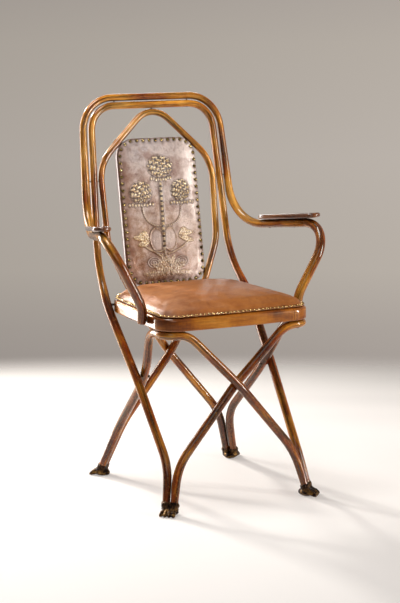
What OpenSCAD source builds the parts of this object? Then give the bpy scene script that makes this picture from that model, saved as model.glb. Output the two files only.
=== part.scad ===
// Bentwood armchair. Five bent rods carry an oval-cornered seat ring and a leather
// back panel, and end in cast paw feet. +Z is up, the front faces -Y, the floor is z = 0.

/* [Back] */
// Height of the top of the outer bow above the floor
back_h = 901; // [860:1:960]
// Lean of the back from upright, in degrees
back_rake = 11.2; // [6:0.1:16]
// Width of the outer bow at its top corners, between centre lines
bow_top_w = 357; // [330:1:390]
// Width of the outer bow where it turns into the arms, between centre lines
bow_arm_w = 388; // [370:1:410]
// Bend radius of the outer bow's top corners
bow_corner_r = 80; // [60:1:100]
// Air between the outer and the inner bow along the sides
bow_side_gap = 3; // [1:0.1:6]
// Air between the outer and the inner bow along the top
bow_top_gap = 1.5; // [0.5:0.1:4]
// Height above the seat at which the inner bow's posts turn forward
post_bend_rise = 73; // [60:1:100]
// Bend radius of the posts there
post_bend_r = 200; // [120:1:205]
// Depth of the pointed loop's shoulders below the top of the back
loop_shoulder_drop = 163; // [145:1:185]
// Air between the pointed loop's shoulders and the inner bow
loop_gap = 0.8; // [0.5:0.1:4]
// Width of the pointed loop low down, between centre lines
loop_low_w = 289; // [278:1:300]
// Height above the seat at which the pointed loop starts to close in
loop_low_rise = 110; // [95:1:140]
// Width of the pointed loop where it passes the seat ring, between centre lines
loop_seat_w = 182; // [150:1:220]
// Bend radius at the point of the loop
loop_point_r = 58; // [50:1:80]
// Bend radius at its shoulders
loop_shoulder_r = 100; // [70:1:120]

/* [Arms] */
// Height above the seat of the bend where each upright turns into the arm
arm_back_rise = 140; // [115:1:160]
// Height above the seat of the arm's front corner, before rounding
arm_front_rise = 178; // [160:1:210]
// Width over the arms' front corners, between centre lines, before rounding
arm_front_w = 577; // [540:1:600]
// Reach of the arms' front corners ahead of the seat ring's back edge, before rounding
arm_reach = 278; // [255:1:310]
// Bend radius where the upright turns into the arm
arm_back_r = 108; // [70:1:130]
// Bend radius of the arm's front corner
arm_front_r = 70; // [50:1:80]
// Distance of the arm supports behind the seat ring's front edge
support_setback = 91; // [70:1:130]

/* [Seat] */
// Height of the seat ring's top face
seat_h = 439; // [425:1:455]
// Height of the seat ring
ring_h = 29; // [24:1:36]
// Width of the bent wood of the ring, seen from above
ring_w = 42; // [36:1:44]
// Width of the seat across the front
seat_front_w = 382; // [370:1:400]
// Width of the seat across the back, before its corners are rounded
seat_back_w = 352; // [340:1:366]
// Depth of the seat, front to back
seat_depth = 355; // [340:1:375]
// How far the front edge bows forward
seat_front_bow = 4; // [1:0.5:10]
// Radius of the front corners
seat_front_r = 48; // [46:1:60]
// Radius of the back corners
seat_back_r = 95; // [80:1:110]
// Thickness of the board under the cushion
board_t = 8; // [6:0.5:10]
// Width of the lip that carries the board
lip_w = 12; // [8:0.5:14]
// Height of the cushion's crown above the ring
crown_h = 38; // [28:1:48]
// Height of the cushion's side above the ring
cushion_side_h = 13; // [10:0.5:18]
// Thickness of the seat leather where it is nailed down
leather_t = 1.8; // [1.4:0.1:3]
// Thickness of the leather strip under the nails
strip_t = 0.9; // [0.7:0.1:1.6]
// Width of that strip
strip_w = 9; // [8:0.5:12]
// Distance of the strip from the ring's outer face
strip_setback = 3.5; // [3:0.5:5]

/* [Legs] */
// How far the front feet stand inside the seat's sides, at the floor
feet_front_inset = 14; // [4:1:24]
// How far the back feet stand inside the seat's sides, at the floor
feet_back_inset = 0; // [-8:1:12]
// Distance from the front feet to the back feet at the floor
feet_depth = 377; // [350:1:400]
// Reach of the front feet ahead of the seat ring's front edge
feet_ahead = 4; // [-10:1:15]
// Height at which the front leg rods part
front_part_z = 102; // [90:1:125]
// Height at which the back leg rods part
back_part_z = 127; // [105:1:140]
// How far each front foot splays sideways below that height
front_splay_x = 19; // [5:1:25]
// How far each front foot splays forward below that height
front_splay_y = 23; // [14:1:34]
// How far each back foot splays sideways below that height
back_splay_x = 38; // [25:1:45]
// How far each back foot splays backward below that height
back_splay_y = 35; // [25:1:45]
// Depth below the seat's top of the crossing in the front pair of rods
front_cross_drop = 165; // [145:1:185]
// Depth below the seat's top of the crossing in the back pair of rods
back_cross_drop = 149; // [135:1:170]
// Depth below the seat's top of the crossings at the sides
side_cross_drop = 162; // [140:1:180]
// Distance of the side crossings behind the seat ring's front edge
side_cross_back = 168; // [155:1:190]
// Distance of the inner rods inside the seat's side at the side crossings
side_cross_inset = 31; // [26:1:36]
// Bend radius of the corner loops in plan, under the seat corners
loop_plan_r = 28; // [22:1:34]
// Bend radius where the corner loops turn down
loop_turn_r = 100; // [60:1:115]
// Length of each corner loop along the ring's front, from its corner
loop_flat = 54; // [48:1:66]
// Length of each corner loop along the ring's side, from its corner
loop_side_flat = 82; // [70:1:92]
// Distance of the corner loops inside the ring's outer face, centre line
loop_inset = 13; // [11:1:18]

/* [Rods] */
// Diameter of the outer bow along the top
top_d = 17; // [15:0.5:20]
// Diameter of the outer bow along the uprights
upright_d = 20; // [17:0.5:22]
// Diameter of the arms
arm_d = 22; // [18:0.5:24]
// Diameter of the inner bow along the top and sides
inner_d = 17.5; // [15:0.5:19]
// Diameter of the pointed loop
loop_d = 16; // [14:0.5:18]
// Diameter of the legs and corner loops
leg_d = 20; // [17:0.5:21]
// Diameter of the rods where they enter the feet
foot_d = 18; // [16:0.5:19]
// Clearance between two pieces of wood that meet
seat_gap = 0.3; // [0.2:0.05:0.5]

/* [Back panel] */
// Width of the back panel
panel_w = 205; // [185:1:207]
// Depth of the panel's upper edge below the top of the back
panel_top_drop = 107; // [104:1:140]
// Height of the panel's lower edge above the seat ring's top face
panel_lift = 11; // [6:1:30]
// Corner radius of the panel
panel_r = 44; // [40:1:54]
// Thickness of the panel's board
panel_board_t = 10; // [8:0.5:14]
// Thickness of the padded leather at its edge
panel_pad_t = 4; // [3:0.5:6]
// Extra thickness of the padded leather at its middle
panel_crown = 6; // [3:0.5:9]
// Thickness of the cover on the panel's back
panel_cover_t = 1.5; // [1:0.1:3]

/* [Arm pads] */
// Length of each arm pad
pad_l = 188; // [160:1:200]
// Width of each arm pad
pad_w = 46; // [36:1:52]
// Thickness of each arm pad
pad_t = 11; // [8:0.5:13]
// Distance of the pad's front end behind the arm's front corner, along the arm
pad_setback = 50; // [30:1:65]

/* [Paw feet] */
// Height of each cast paw
paw_h = 27; // [24:1:38]
// Width of each paw across its toes
paw_w = 46; // [42:1:52]
// Length of each paw from heel to toes
paw_l = 52; // [46:1:58]
// Thickness of metal under the rods' ends
paw_sole = 8; // [5:0.5:12]

/* [Nails and screws] */
// Diameter of the seat nails' heads
nail_d = 8.6; // [7:0.1:9.5]
// Spacing of the seat nails
nail_pitch = 10.4; // [10:0.1:14]
// Diameter of the back panel nails' heads
panel_nail_d = 8; // [6.5:0.1:9]
// Spacing of the back panel nails
panel_nail_pitch = 16.4; // [13:0.1:20]
// Distance of the panel nails from the panel's edge
panel_nail_in = 5.2; // [4.6:0.1:10]
// Diameter of the bolts' shanks
bolt_d = 6; // [5:0.1:7]
// Diameter of the bolts' heads
bolt_head_d = 10; // [8:0.1:11]
// Diameter of the small screws' shanks
screw_d = 3.5; // [3:0.1:4]
// Diameter of the small screws' heads
screw_head_d = 7; // [6:0.1:8]

/* [Hidden] */

// Colours as the photograph shows them
wood = "#8a4b1c";
wood_dark = "#6e3512";
leather = "#b5703f";
panel_leather = "#b49a94";
bronze = "#3c3428";
brass = "#c9a04a";
steel = "#6b6660";

// Smoothness of the bent rods
rod_sides = 16;
// Bend radii of the rods' slower turns
slow_bend_r = 400;
cross_bend_r = 300;
foot_bend_r = 150;
support_bend_r = 90;
loop_low_r = 140;
loop_seat_r = 220;
bend_step = 11;
corner_step = 9;

// Heights and depths that follow from the driving sizes. y is counted from the seat's
// front edge here and moved to the middle of the whole chair by place().
ring_z = seat_h - ring_h;
y_front = 0;
y_back = seat_depth;
post_z = seat_h - ring_h / 2;
// Air between the ring and the rods that pass it on their way down
ring_air = 1.8;
loop_seat_y = y_back + loop_d / 2 + ring_air;
back_base_y = loop_seat_y + (seat_h - post_z) * tan(back_rake);
// The toes of each paw, seen along it: where they start and end, and how they fan out
toe_r = paw_w / 8 + 1;
toe_start = paw_l * 0.14;
toe_end = paw_l * 0.36;
toe_step = toe_r * 1.2;
toe_fan = 9;
toe_tip_r = toe_r * 0.84;
toes = [-1.5:1:1.5];
reach_front = -feet_ahead - toe_tip_r
  + min([for (k = toes) toe_end * sin(toe_fan * k - 45) + k * toe_step * cos(toe_fan * k - 45)]);
bow_top_z = back_h - top_d / 2;
reach_back = back_base_y + (bow_top_z - seat_h) * tan(back_rake) + top_d / 2;
y_mid = (reach_front + reach_back) / 2;
post_bend_z = seat_h + post_bend_rise;
loop_shoulder_z = back_h - loop_shoulder_drop;
loop_low_z = seat_h + loop_low_rise;
arm_back_z = seat_h + arm_back_rise;
arm_front_z = seat_h + arm_front_rise;
front_cross_z = seat_h - front_cross_drop;
back_cross_z = seat_h - back_cross_drop;
side_cross_z = seat_h - side_cross_drop;
inner_top_z = bow_top_z - (top_d + inner_d) / 2 - bow_top_gap;
loop_z = ring_z - leg_d / 2 - seat_gap;

// Vector helpers
function unit(v) = v / norm(v);
function flip(p) = [-p[0], p[1], p[2]];
function mix(a, b, t) = a + (b - a) * t;
function last(list) = list[len(list) - 1];

// A point of the back's leaning plane at half width x and height z
function on_back(x, z) = [x, back_base_y + (z - seat_h) * tan(back_rake), z];

// The points of a bend of radius r that rounds the corner a-b-c, and that takes up no more
// than a share of the run on either side
function bend_points(a, b, c, r, step, share = 0.48) =
  let (
    u = unit(a - b),
    v = unit(c - b),
    turn = 180 - acos(max(-1, min(1, u * v)))
  )
  turn < 0.5 ? [b] :
  let (
    reach = min(r * tan(turn / 2), norm(a - b) * share, norm(c - b) * share),
    true_r = reach / tan(turn / 2),
    centre = b + unit(u + v) * true_r / cos(turn / 2),
    e1 = unit(b + u * reach - centre),
    away = b + v * reach - centre,
    e2 = unit(away - (away * e1) * e1),
    steps = max(2, ceil(turn / step))
  )
  [for (i = [0:steps]) centre + true_r * (cos(turn * i / steps) * e1 + sin(turn * i / steps) * e2)];

// A rod's stations [point, diameter] from its corners [point, bend radius, diameter, share]
function rod_path(corners) = [
  [corners[0][0], corners[0][2]],
  for (i = [1:len(corners) - 2])
    let (
      here = corners[i],
      share = len(here) > 3 ? here[3] : 0.48
    )
    for (p = bend_points(corners[i - 1][0], here[0], corners[i + 1][0], here[1], bend_step, share))
      [p, here[2]],
  [last(corners)[0], last(corners)[2]]
];

// Directions along a path, and a normal carried along it without twist
function path_dirs(p) = [
  for (i = [0:len(p) - 1]) unit(p[min(i + 1, len(p) - 1)][0] - p[max(i - 1, 0)][0])
];
function carried_normals(dirs) = [
  for (
    i = 0, n = unit(cross(dirs[0], abs(dirs[0][2]) > 0.9 ? [1, 0, 0] : [0, 0, 1]));
    i < len(dirs);
    i = i + 1, n = i < len(dirs) ? unit(n - (n * dirs[i]) * dirs[i]) : n
  ) n
];

// A round rod swept along its stations
module swept_rod(stations) {
  dirs = path_dirs(stations);
  normals = carried_normals(dirs);
  count = len(stations);
  points = [
    for (i = [0:count - 1])
      for (k = [0:rod_sides - 1])
        let (angle = 360 * k / rod_sides, side = cross(dirs[i], normals[i]))
        stations[i][0] + stations[i][1] / 2 * (cos(angle) * normals[i] + sin(angle) * side)
  ];
  walls = [
    for (i = [0:count - 2])
      for (k = [0:rod_sides - 1])
        let (a = i * rod_sides + k, b = i * rod_sides + (k + 1) % rod_sides)
        each [[a, a + rod_sides, b], [b, a + rod_sides, b + rod_sides]]
  ];
  start_cap = [[for (k = [0:rod_sides - 1]) k]];
  end_cap = [[for (k = [rod_sides - 1:-1:0]) (count - 1) * rod_sides + k]];
  polyhedron(points, concat(walls, start_cap, end_cap));
}

module place() {
  translate([0, -y_mid, 0]) children();
}

// The seat's outline, seen from above, with each corner rounded
seat_corners = [
  [seat_front_w / 2, y_front, seat_front_r],
  [seat_back_w / 2, y_back, seat_back_r],
  [-seat_back_w / 2, y_back, seat_back_r],
  [-seat_front_w / 2, y_front, seat_front_r],
  [0, y_front - 2 * seat_front_bow, 2000]
];
function rounded_outline(corners) = [
  for (i = [0:len(corners) - 1])
    let (
      n = len(corners),
      a = corners[(i + n - 1) % n],
      b = corners[i],
      c = corners[(i + 1) % n]
    )
    each bend_points([a[0], a[1], 0], [b[0], b[1], 0], [c[0], c[1], 0], b[2], corner_step)
];
// The same outline with no side longer than a limit
function divided(outline, limit) = [
  for (i = [0:len(outline) - 1])
    let (a = outline[i], b = outline[(i + 1) % len(outline)], parts = max(1, ceil(norm(b - a) / limit)))
    for (k = [0:parts - 1]) mix(a, b, k / parts)
];
// The outline moved inward by a distance
function inset(outline, distance) = [
  for (i = [0:len(outline) - 1])
    let (
      n = len(outline),
      along = unit(outline[(i + 1) % n] - outline[(i + n - 1) % n])
    )
    outline[i] + distance * [-along[1], along[0], 0]
];
seat_edge = divided(rounded_outline(seat_corners), 45);

// Half width of the seat at a depth y, on its straight sides
function side_x(y) = mix(seat_front_w, seat_back_w, (y - y_front) / seat_depth) / 2;
// Half width of the seat where its back corner rounds, at a depth y
corner_y = y_back - seat_back_r;
function ring_x(y) = y < corner_y ? side_x(y)
  : side_x(corner_y) - seat_back_r + sqrt(pow(seat_back_r, 2) - pow(y - corner_y, 2));

// Stations at equal steps along a closed outline, as [point, direction]
function run_lengths(outline) = [
  for (i = 0, s = 0; i <= len(outline); s = s + norm(outline[(i + 1) % len(outline)] - outline[i % len(outline)]), i = i + 1) s
];
function equal_steps(outline, pitch) =
  let (runs = run_lengths(outline), total = last(runs), count = round(total / pitch))
  [
    for (k = [0:count - 1])
      let (
        s = total * k / count,
        i = max([for (j = [0:len(outline) - 1]) runs[j] <= s ? j : 0])
      )
      mix(outline[i], outline[(i + 1) % len(outline)], (s - runs[i]) / (runs[i + 1] - runs[i]))
  ];

// A closed band whose cross-section is given as [distance inward, height] pairs
module outline_band(outline, section) {
  loops = [for (s = section) [for (p = inset(outline, s[0])) p + [0, 0, s[1]]]];
  n = len(outline);
  m = len(section);
  points = [for (l = loops) each l];
  faces = [
    for (j = [0:m - 1])
      for (i = [0:n - 1])
        let (
          a = j * n + i,
          b = j * n + (i + 1) % n,
          c = ((j + 1) % m) * n + i,
          d = ((j + 1) % m) * n + (i + 1) % n
        )
        each [[a, c, b], [b, c, d]]
  ];
  polyhedron(points, faces);
}

// A closed solid of stacked loops, from a bottom loop to one middle point on top
module loop_stack(loops, top) {
  n = len(loops[0]);
  m = len(loops);
  points = [each [for (l = loops) each l], top];
  walls = [
    for (j = [0:m - 2])
      for (i = [0:n - 1])
        let (a = j * n + i, b = j * n + (i + 1) % n)
        each [[a, a + n, b], [b, a + n, b + n]]
  ];
  lid = [for (i = [0:n - 1]) [(m - 1) * n + i, m * n, (m - 1) * n + (i + 1) % n]];
  floor_face = [[for (i = [0:n - 1]) i]];
  polyhedron(points, concat(walls, lid, floor_face));
}

// The domed head of a nail, standing on z = 0
module dome_head(d) {
  h = d * head_rise;
  r = (d * d / 4 + h * h) / (2 * h);
  rotate_extrude($fn = 20)
    intersection() {
      translate([0, h - r]) circle(r, $fn = 48);
      square([d, h]);
    }
}

// Foot axes: the point where the rods part, and the point where they end in the paw.
// Two rods stand side by side in each foot, square to the way its toes point.
rod_side = (foot_d + seat_gap) / 2;
feet_front_x = seat_front_w / 2 - feet_front_inset;
feet_back_x = seat_back_w / 2 - feet_back_inset;
front_end = [feet_front_x, y_front - feet_ahead, paw_sole];
front_part = [
  feet_front_x - front_splay_x,
  y_front - feet_ahead + front_splay_y,
  front_part_z
];
back_end = [feet_back_x, y_front - feet_ahead + feet_depth, paw_sole];
back_part = [
  feet_back_x - back_splay_x,
  y_front - feet_ahead + feet_depth - back_splay_y,
  back_part_z
];
part_side = leg_d / 2 + 3 * seat_gap;
// Wall of each paw round its rods
cuff_wall = 1.8;
front_across = unit([1, 1, 0]);
back_across = unit([1, -1, 0]);
// A rod's direction out of its paw, and the point where it leaves the paw
function rod_up(foot_end, foot_part, across) =
  unit(foot_part + part_side * across - foot_end - rod_side * across);
function in_paw(foot_end, foot_part, across) =
  foot_end + rod_side * across + paw_h * rod_up(foot_end, foot_part, across);

// Outer bow: support, arm, upright and half of the top, on the right side
support_x = side_x(y_front + support_setback) + arm_d / 2 + seat_gap;
support_y = y_front + support_setback;
// Height above the ring's underside at which the supports end
support_stop = 8;
arm_back = on_back(bow_arm_w / 2, arm_back_z);
arm_front = [arm_front_w / 2, y_back - arm_reach, arm_front_z];
bow_corner = on_back(bow_top_w / 2, bow_top_z);
outer_half = [
  [bow_corner, bow_corner_r, top_d],
  [arm_back, arm_back_r, upright_d],
  [arm_front, arm_front_r, arm_d, 0.62],
  [[support_x, support_y - 6, seat_h + 14], support_bend_r, arm_d],
  [[support_x, support_y, ring_z + support_stop], 0, arm_d - 2]
];

// Where two rods cross, each centre line stands this far off the middle of the crossing
cross_shift = leg_d / 2 + 5 * seat_gap;

// Inner bow: foot, leg, post and half of the top, on the right side
inner_corner_x = bow_top_w / 2 - (top_d + inner_d) / 2 - bow_side_gap;
inner_low_x = bow_arm_w / 2 - (upright_d + inner_d) / 2 - bow_side_gap;
post_slope = (inner_low_x - inner_corner_x) / (bow_top_z - arm_back_z);
inner_post_x = inner_low_x + post_slope * (arm_back_z - post_bend_z);
inner_corner = on_back(inner_corner_x, inner_top_z);
post_bend = on_back(inner_post_x, post_bend_z);
side_cross_y = y_front + side_cross_back;
side_cross_x = side_x(side_cross_y) - side_cross_inset;
post_y = mix(side_cross_y, post_bend[1], (post_z - side_cross_z) / (post_bend_z - side_cross_z));
post_x = ring_x(post_y - leg_d * 0.7) + leg_d / 2 + ring_air;
inner_half = [
  [inner_corner, bow_corner_r - (top_d + inner_d) / 2 - bow_side_gap, inner_d],
  [post_bend, post_bend_r, inner_d],
  [[post_x, post_y, post_z], slow_bend_r, leg_d],
  [[side_cross_x + 2 * cross_shift, side_cross_y, side_cross_z], slow_bend_r, leg_d],
  [front_part + part_side * front_across, foot_bend_r, leg_d, 0.75],
  [in_paw(front_end, front_part, front_across), 0, foot_d],
  [front_end + rod_side * front_across, 0, foot_d]
];

// Pointed loop: its point under the inner bow, and half of the loop down to the crossed legs.
// The point is found from the tangent that its bend makes with the shoulder.
loop_top_z = inner_top_z - (inner_d + loop_d) / 2 - seat_gap;
// The loop comes nearest to the inner bow below its rounded shoulder, where they are joined
// Share of the shoulder radius below the corner where the loop first lies along the bow.
shoulder_share = 0.38;
bow_join_z = loop_shoulder_z - loop_shoulder_r * shoulder_share;
shoulder_x = inner_corner_x + post_slope * (inner_top_z - bow_join_z) - (inner_d + loop_d) / 2 - loop_gap;
point_centre_z = loop_top_z - loop_point_r;
point_span = norm([shoulder_x, loop_shoulder_z - point_centre_z]);
point_angle = atan2(loop_shoulder_z - point_centre_z, shoulder_x) - asin(loop_point_r / point_span) + 180;
loop_point_z = loop_shoulder_z + shoulder_x * tan(180 - point_angle);
function loop_half(shift) = [
  [on_back(shoulder_x, loop_shoulder_z), loop_shoulder_r, loop_d],
  [on_back(loop_low_w / 2, loop_low_z), loop_low_r, loop_d],
  [[loop_seat_w / 2, loop_seat_y, post_z], loop_seat_r, loop_d],
  [[0, back_cross_y + shift, back_cross_z], cross_bend_r, leg_d],
  [flip(back_part) - part_side * flip(back_across), foot_bend_r, leg_d, 0.75],
  [in_paw(flip(back_end), flip(back_part), -flip(back_across)), 0, foot_d],
  [flip(back_end) - rod_side * flip(back_across), 0, foot_d]
];

// Corner loop: from the front foot of the other side, round under the seat corner, to the
// back foot of its own side. It is given for the right corner.
loop_corner = [side_x(y_front) - loop_inset, y_front + loop_inset, loop_z];
front_cross_y = loop_corner[1] - leg_d / 5;
back_cross_y = mix(loop_seat_y, back_part[1], 0.2);
function corner_loop(shift) = [
  [flip(front_end) - rod_side * flip(front_across), 0, foot_d],
  [in_paw(flip(front_end), flip(front_part), -flip(front_across)), 0, foot_d],
  [flip(front_part) - part_side * flip(front_across), foot_bend_r, leg_d, 0.75],
  [[0, front_cross_y + shift, front_cross_z], cross_bend_r, leg_d],
  [loop_corner - [loop_flat, 0, 0], loop_turn_r, leg_d],
  [loop_corner, loop_plan_r, leg_d],
  [loop_corner + [-2, loop_side_flat, 0], loop_turn_r * 0.6, leg_d],
  [[side_cross_x, side_cross_y, side_cross_z], slow_bend_r, leg_d],
  [back_part + part_side * back_across, foot_bend_r, leg_d, 0.75],
  [in_paw(back_end, back_part, back_across), 0, foot_d],
  [back_end + rod_side * back_across, 0, foot_d]
];

// Fasteners, each given as [point under the head, direction of the shank, length, shank, head]
back_up = [0, sin(back_rake), cos(back_rake)];
// Room round a shank and a head in their holes, and the depth cut free for a head
hole_room = 0.8;
head_room = 8;
// How far a bolt from inside the ring goes past the middle of its rod, as a share of the rod
rod_bite = 0.22;
loop_bite = 15;
crossing_span = 2 * cross_shift + leg_d;
outer_side_x = side_cross_x + 2 * cross_shift + leg_d / 2;
// Height of a head as a share of its diameter, and the depth to which each head is sunk
head_rise = 0.38;
// How much deeper than flush a head sits, as a share of its width.
head_sink = 0.03;
function sunk(p, dir, length, shank, head) =
  let (depth = head * (head_rise + head_sink))
  [p + dir * depth, dir, length - depth, shank, head];
function bolt(p, dir, length) = sunk(p, dir, length, bolt_d, bolt_head_d);
function screw(p, dir, length) = sunk(p, dir, length, screw_d, screw_head_d);
function both_sides(f) = [f, [flip(f[0]), flip(f[1]), f[2], f[3], f[4]]];
// Bolts from inside the seat ring hold the posts, the supports and the pointed loop
wall_slant = 1.22;
post_bolt_x = post_x - leg_d / 2 - ring_air - ring_w * wall_slant;
post_bolt_list = both_sides(
  bolt([post_bolt_x, post_y, post_z], [1, 0, 0], post_x + leg_d * rod_bite - post_bolt_x)
);
support_bolt_x = side_x(support_y) - ring_w;
support_bolt_list = both_sides(
  bolt([support_bolt_x, support_y - 2, post_z], [1, 0, 0], support_x + arm_d * rod_bite - support_bolt_x)
);
loop_screw_in = loop_flat * 0.43;
loop_screw_list = [
  each both_sides(bolt(loop_corner - [loop_screw_in, 0, leg_d / 2], [0, 0, 1], leg_d + loop_bite)),
  each both_sides(bolt(loop_corner + [-1, loop_screw_in, -leg_d / 2], [0, 0, 1], leg_d + loop_bite))
];
back_bolt_y = y_back - ring_w;
back_ring_screw_list = both_sides(
  bolt([loop_seat_w / 2, back_bolt_y, post_z], [0, 1, 0], loop_seat_y + loop_d * rod_bite - back_bolt_y)
);
crossing_bolt_list = [
  screw([0, front_cross_y + crossing_span / 2, front_cross_z], [0, -1, 0], crossing_span * 0.9),
  screw([0, back_cross_y + crossing_span / 2, back_cross_z], [0, -1, 0], crossing_span * 0.9),
  each both_sides(
    screw([outer_side_x - crossing_span, side_cross_y, side_cross_z], [1, 0, 0], crossing_span * 0.9)
  )
];
// The three bows are held to each other at the top, at the point and at both sides
bow_join_x = mix(loop_low_w / 2, shoulder_x, (bow_join_z - loop_low_z) / (loop_shoulder_z - loop_low_z));
bow_join_span = inner_corner_x + post_slope * (bow_top_z - bow_join_z) - bow_join_x;
bow_screw_list = [
  each both_sides(
    screw(
      on_back(bow_top_w * 0.27, inner_top_z) - back_up * inner_d / 2,
      back_up,
      inner_d + bow_top_gap + top_d * 0.65
    )
  ),
  screw(on_back(0, loop_top_z) - back_up * loop_d / 2, back_up, loop_d + inner_d * 0.63),
  each both_sides(
    screw(
      on_back(bow_join_x - loop_d / 2, bow_join_z),
      [1, 0, 0],
      bow_join_span + inner_d + bow_side_gap + upright_d * 0.85
    )
  )
];
arm_dir = unit(arm_front - arm_back);
arm_flat = norm([arm_dir[0], arm_dir[1]]);
arm_up = [-arm_dir[0] * arm_dir[2] / arm_flat, -arm_dir[1] * arm_dir[2] / arm_flat, arm_flat];
pad_middle = arm_front - arm_dir * (pad_setback + pad_l / 2);
pad_lift = arm_d / 2 + 0.5;
arm_pad_screw_list = [
  for (shift = [-0.35 * pad_l, 0.08 * pad_l])
    each both_sides(
      screw(pad_middle + arm_dir * shift - arm_up * arm_d / 2, arm_up, arm_d + pad_t / 2 + 0.5)
    )
];
pin_z = paw_h * 0.44;
function paw_pin(foot_end, foot_part, across) =
  let (
    middle = foot_end + unit(foot_part - foot_end) * pin_z,
    half = rod_side + foot_d / 2 + cuff_wall + hole_room
  )
  screw(middle + across * half, -across, 2 * half);
paw_pin_list = [
  each both_sides(paw_pin(front_end, front_part, front_across)),
  each both_sides(paw_pin(back_end, back_part, back_across))
];
module aimed(f) {
  translate(f[0])
    rotate([0, acos(f[1][2]), atan2(f[1][1], f[1][0])]) children();
}
module fasteners(list) {
  for (f = list)
    aimed(f) {
      cylinder(d = f[3], h = f[2], $fn = 24);
      mirror([0, 0, 1]) dome_head(f[4]);
    }
}
module fastener_holes(list) {
  for (f = list)
    aimed(f) {
        cylinder(d = f[3] + hole_room, h = f[2] + 1, $fn = 24);
        translate([0, 0, -head_room + hole_room / 2]) cylinder(d = f[4] + hole_room, h = head_room, $fn = 24);
      }
}

function reversed(list) = [for (i = [len(list) - 1:-1:0]) list[i]];
function mirrored(corners) = [for (c = corners) concat([flip(c[0])], [for (i = [1:len(c) - 1]) c[i]])];
// A whole bow from its right half, given from the top corner outward
function whole(half) = concat(reversed(mirrored(half)), half);

module outer_bow() {
  color(wood) place()
    difference() {
      swept_rod(rod_path(whole(outer_half)));
      fastener_holes(concat(support_bolt_list, bow_screw_list, arm_pad_screw_list));
    }
}

module inner_bow() {
  color(wood_dark) place()
    difference() {
      swept_rod(rod_path(whole(inner_half)));
      fastener_holes(concat(post_bolt_list, crossing_bolt_list, bow_screw_list, paw_pin_list));
    }
}

module pointed_loop() {
  loop_point = [[on_back(0, loop_point_z), loop_point_r, loop_d]];
  left = reversed(mirrored(loop_half(cross_shift)));
  color(wood) place()
    difference() {
      swept_rod(rod_path(concat(left, loop_point, loop_half(-cross_shift))));
      fastener_holes(concat(back_ring_screw_list, crossing_bolt_list, bow_screw_list, paw_pin_list));
    }
}

loop_holes = concat(loop_screw_list, crossing_bolt_list, paw_pin_list);
module corner_loop_right() {
  color(wood) place()
    difference() {
      swept_rod(rod_path(corner_loop(cross_shift)));
      fastener_holes(loop_holes);
    }
}

module corner_loop_left() {
  color(wood) place()
    difference() {
      swept_rod(rod_path(mirrored(corner_loop(-cross_shift))));
      fastener_holes(loop_holes);
    }
}

// Seat ring: a bent rail with a rounded outer edge and a lip for the board
module seat_ring() {
  section = [
    [2.5, 0], [0, 3], [0, ring_h - 8], [1.2, ring_h - 3.6], [4, ring_h - 1],
    [8.5, ring_h], [ring_w - lip_w, ring_h], [ring_w - lip_w, ring_h - board_t],
    [ring_w, ring_h - board_t], [ring_w, 0]
  ];
  color(wood) place()
    difference() {
      translate([0, 0, ring_z]) outline_band(seat_edge, section);
      fastener_holes(concat(post_bolt_list, support_bolt_list, loop_screw_list, back_ring_screw_list));
    }
}

module seat_board() {
  edge = inset(seat_edge, ring_w - lip_w + seat_gap);
  color("#9c7a50") place()
    translate([0, 0, seat_h - board_t + seat_gap])
      linear_extrude(board_t - 2 * seat_gap)
        polygon([for (p = edge) [p[0], p[1]]]);
}

// Seat cushion: a nailed border, a swelling side and a domed crown
cushion_edge = inset(seat_edge, strip_setback + 0.5);
cushion_inner = strip_setback + strip_w + 1;
module seat_cushion() {
  middle = [0, y_front + seat_depth * 0.49, 0];
  wall = inset(seat_edge, cushion_inner);
  swell = inset(seat_edge, cushion_inner - 2);
  shoulder = inset(seat_edge, cushion_inner + 4);
  rise = crown_h - cushion_side_h - 3;
  dome = [
    for (s = [0.96, 0.88, 0.76, 0.6, 0.42, 0.22])
      [for (p = shoulder) mix(middle, p, s)
        + [0, 0, cushion_side_h + 3 + rise * pow(1 - s * s, 0.85)]]
  ];
  color(leather) place() translate([0, 0, seat_h + seat_gap])
    loop_stack(
      concat(
        [
          cushion_edge,
          [for (p = cushion_edge) p + [0, 0, leather_t]],
          [for (p = wall) p + [0, 0, leather_t]],
          [for (p = swell) p + [0, 0, mix(leather_t, cushion_side_h, 0.5)]],
          [for (p = wall) p + [0, 0, cushion_side_h - 2]],
          [for (p = shoulder) p + [0, 0, cushion_side_h + 2.5]]
        ],
        dome
      ),
      middle + [0, 0, crown_h]
    );
}

strip_z = seat_h + 2 * seat_gap + leather_t;
module seat_strip() {
  section = [
    [strip_setback + 0.6, 0], [strip_setback + 0.6, strip_t],
    [strip_setback + strip_w, strip_t], [strip_setback + strip_w, 0]
  ];
  color("#7d4a28") place() translate([0, 0, strip_z]) outline_band(seat_edge, section);
}

module seat_nails() {
  line = inset(seat_edge, strip_setback + 0.6 + (strip_w - 0.6) / 2);
  color(brass) place()
    for (p = equal_steps(line, nail_pitch))
      translate([p[0], p[1], strip_z + strip_t + seat_gap]) dome_head(nail_d);
}

// Back panel, drawn flat with x across and y up its own face, then leaned back.
// Its front faces +Z while flat, and the pointed loop's centre plane is z = 0.
panel_low = seat_h + panel_lift;
panel_h = (back_h - panel_top_drop - panel_low) / cos(back_rake);
module lean_panel() {
  place()
    translate(on_back(0, panel_low))
      rotate([90 - back_rake, 0, 0]) children();
}
panel_corners = [
  [panel_w / 2, 0, panel_r],
  [panel_w / 2, panel_h, panel_r],
  [-panel_w / 2, panel_h, panel_r],
  [-panel_w / 2, 0, panel_r]
];
panel_edge = divided(rounded_outline(panel_corners), 40);
panel_back_z = -loop_d / 2 + 0.2;
panel_board_z = panel_back_z + panel_cover_t + seat_gap;
panel_front_z = panel_board_z + panel_board_t + seat_gap;

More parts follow.
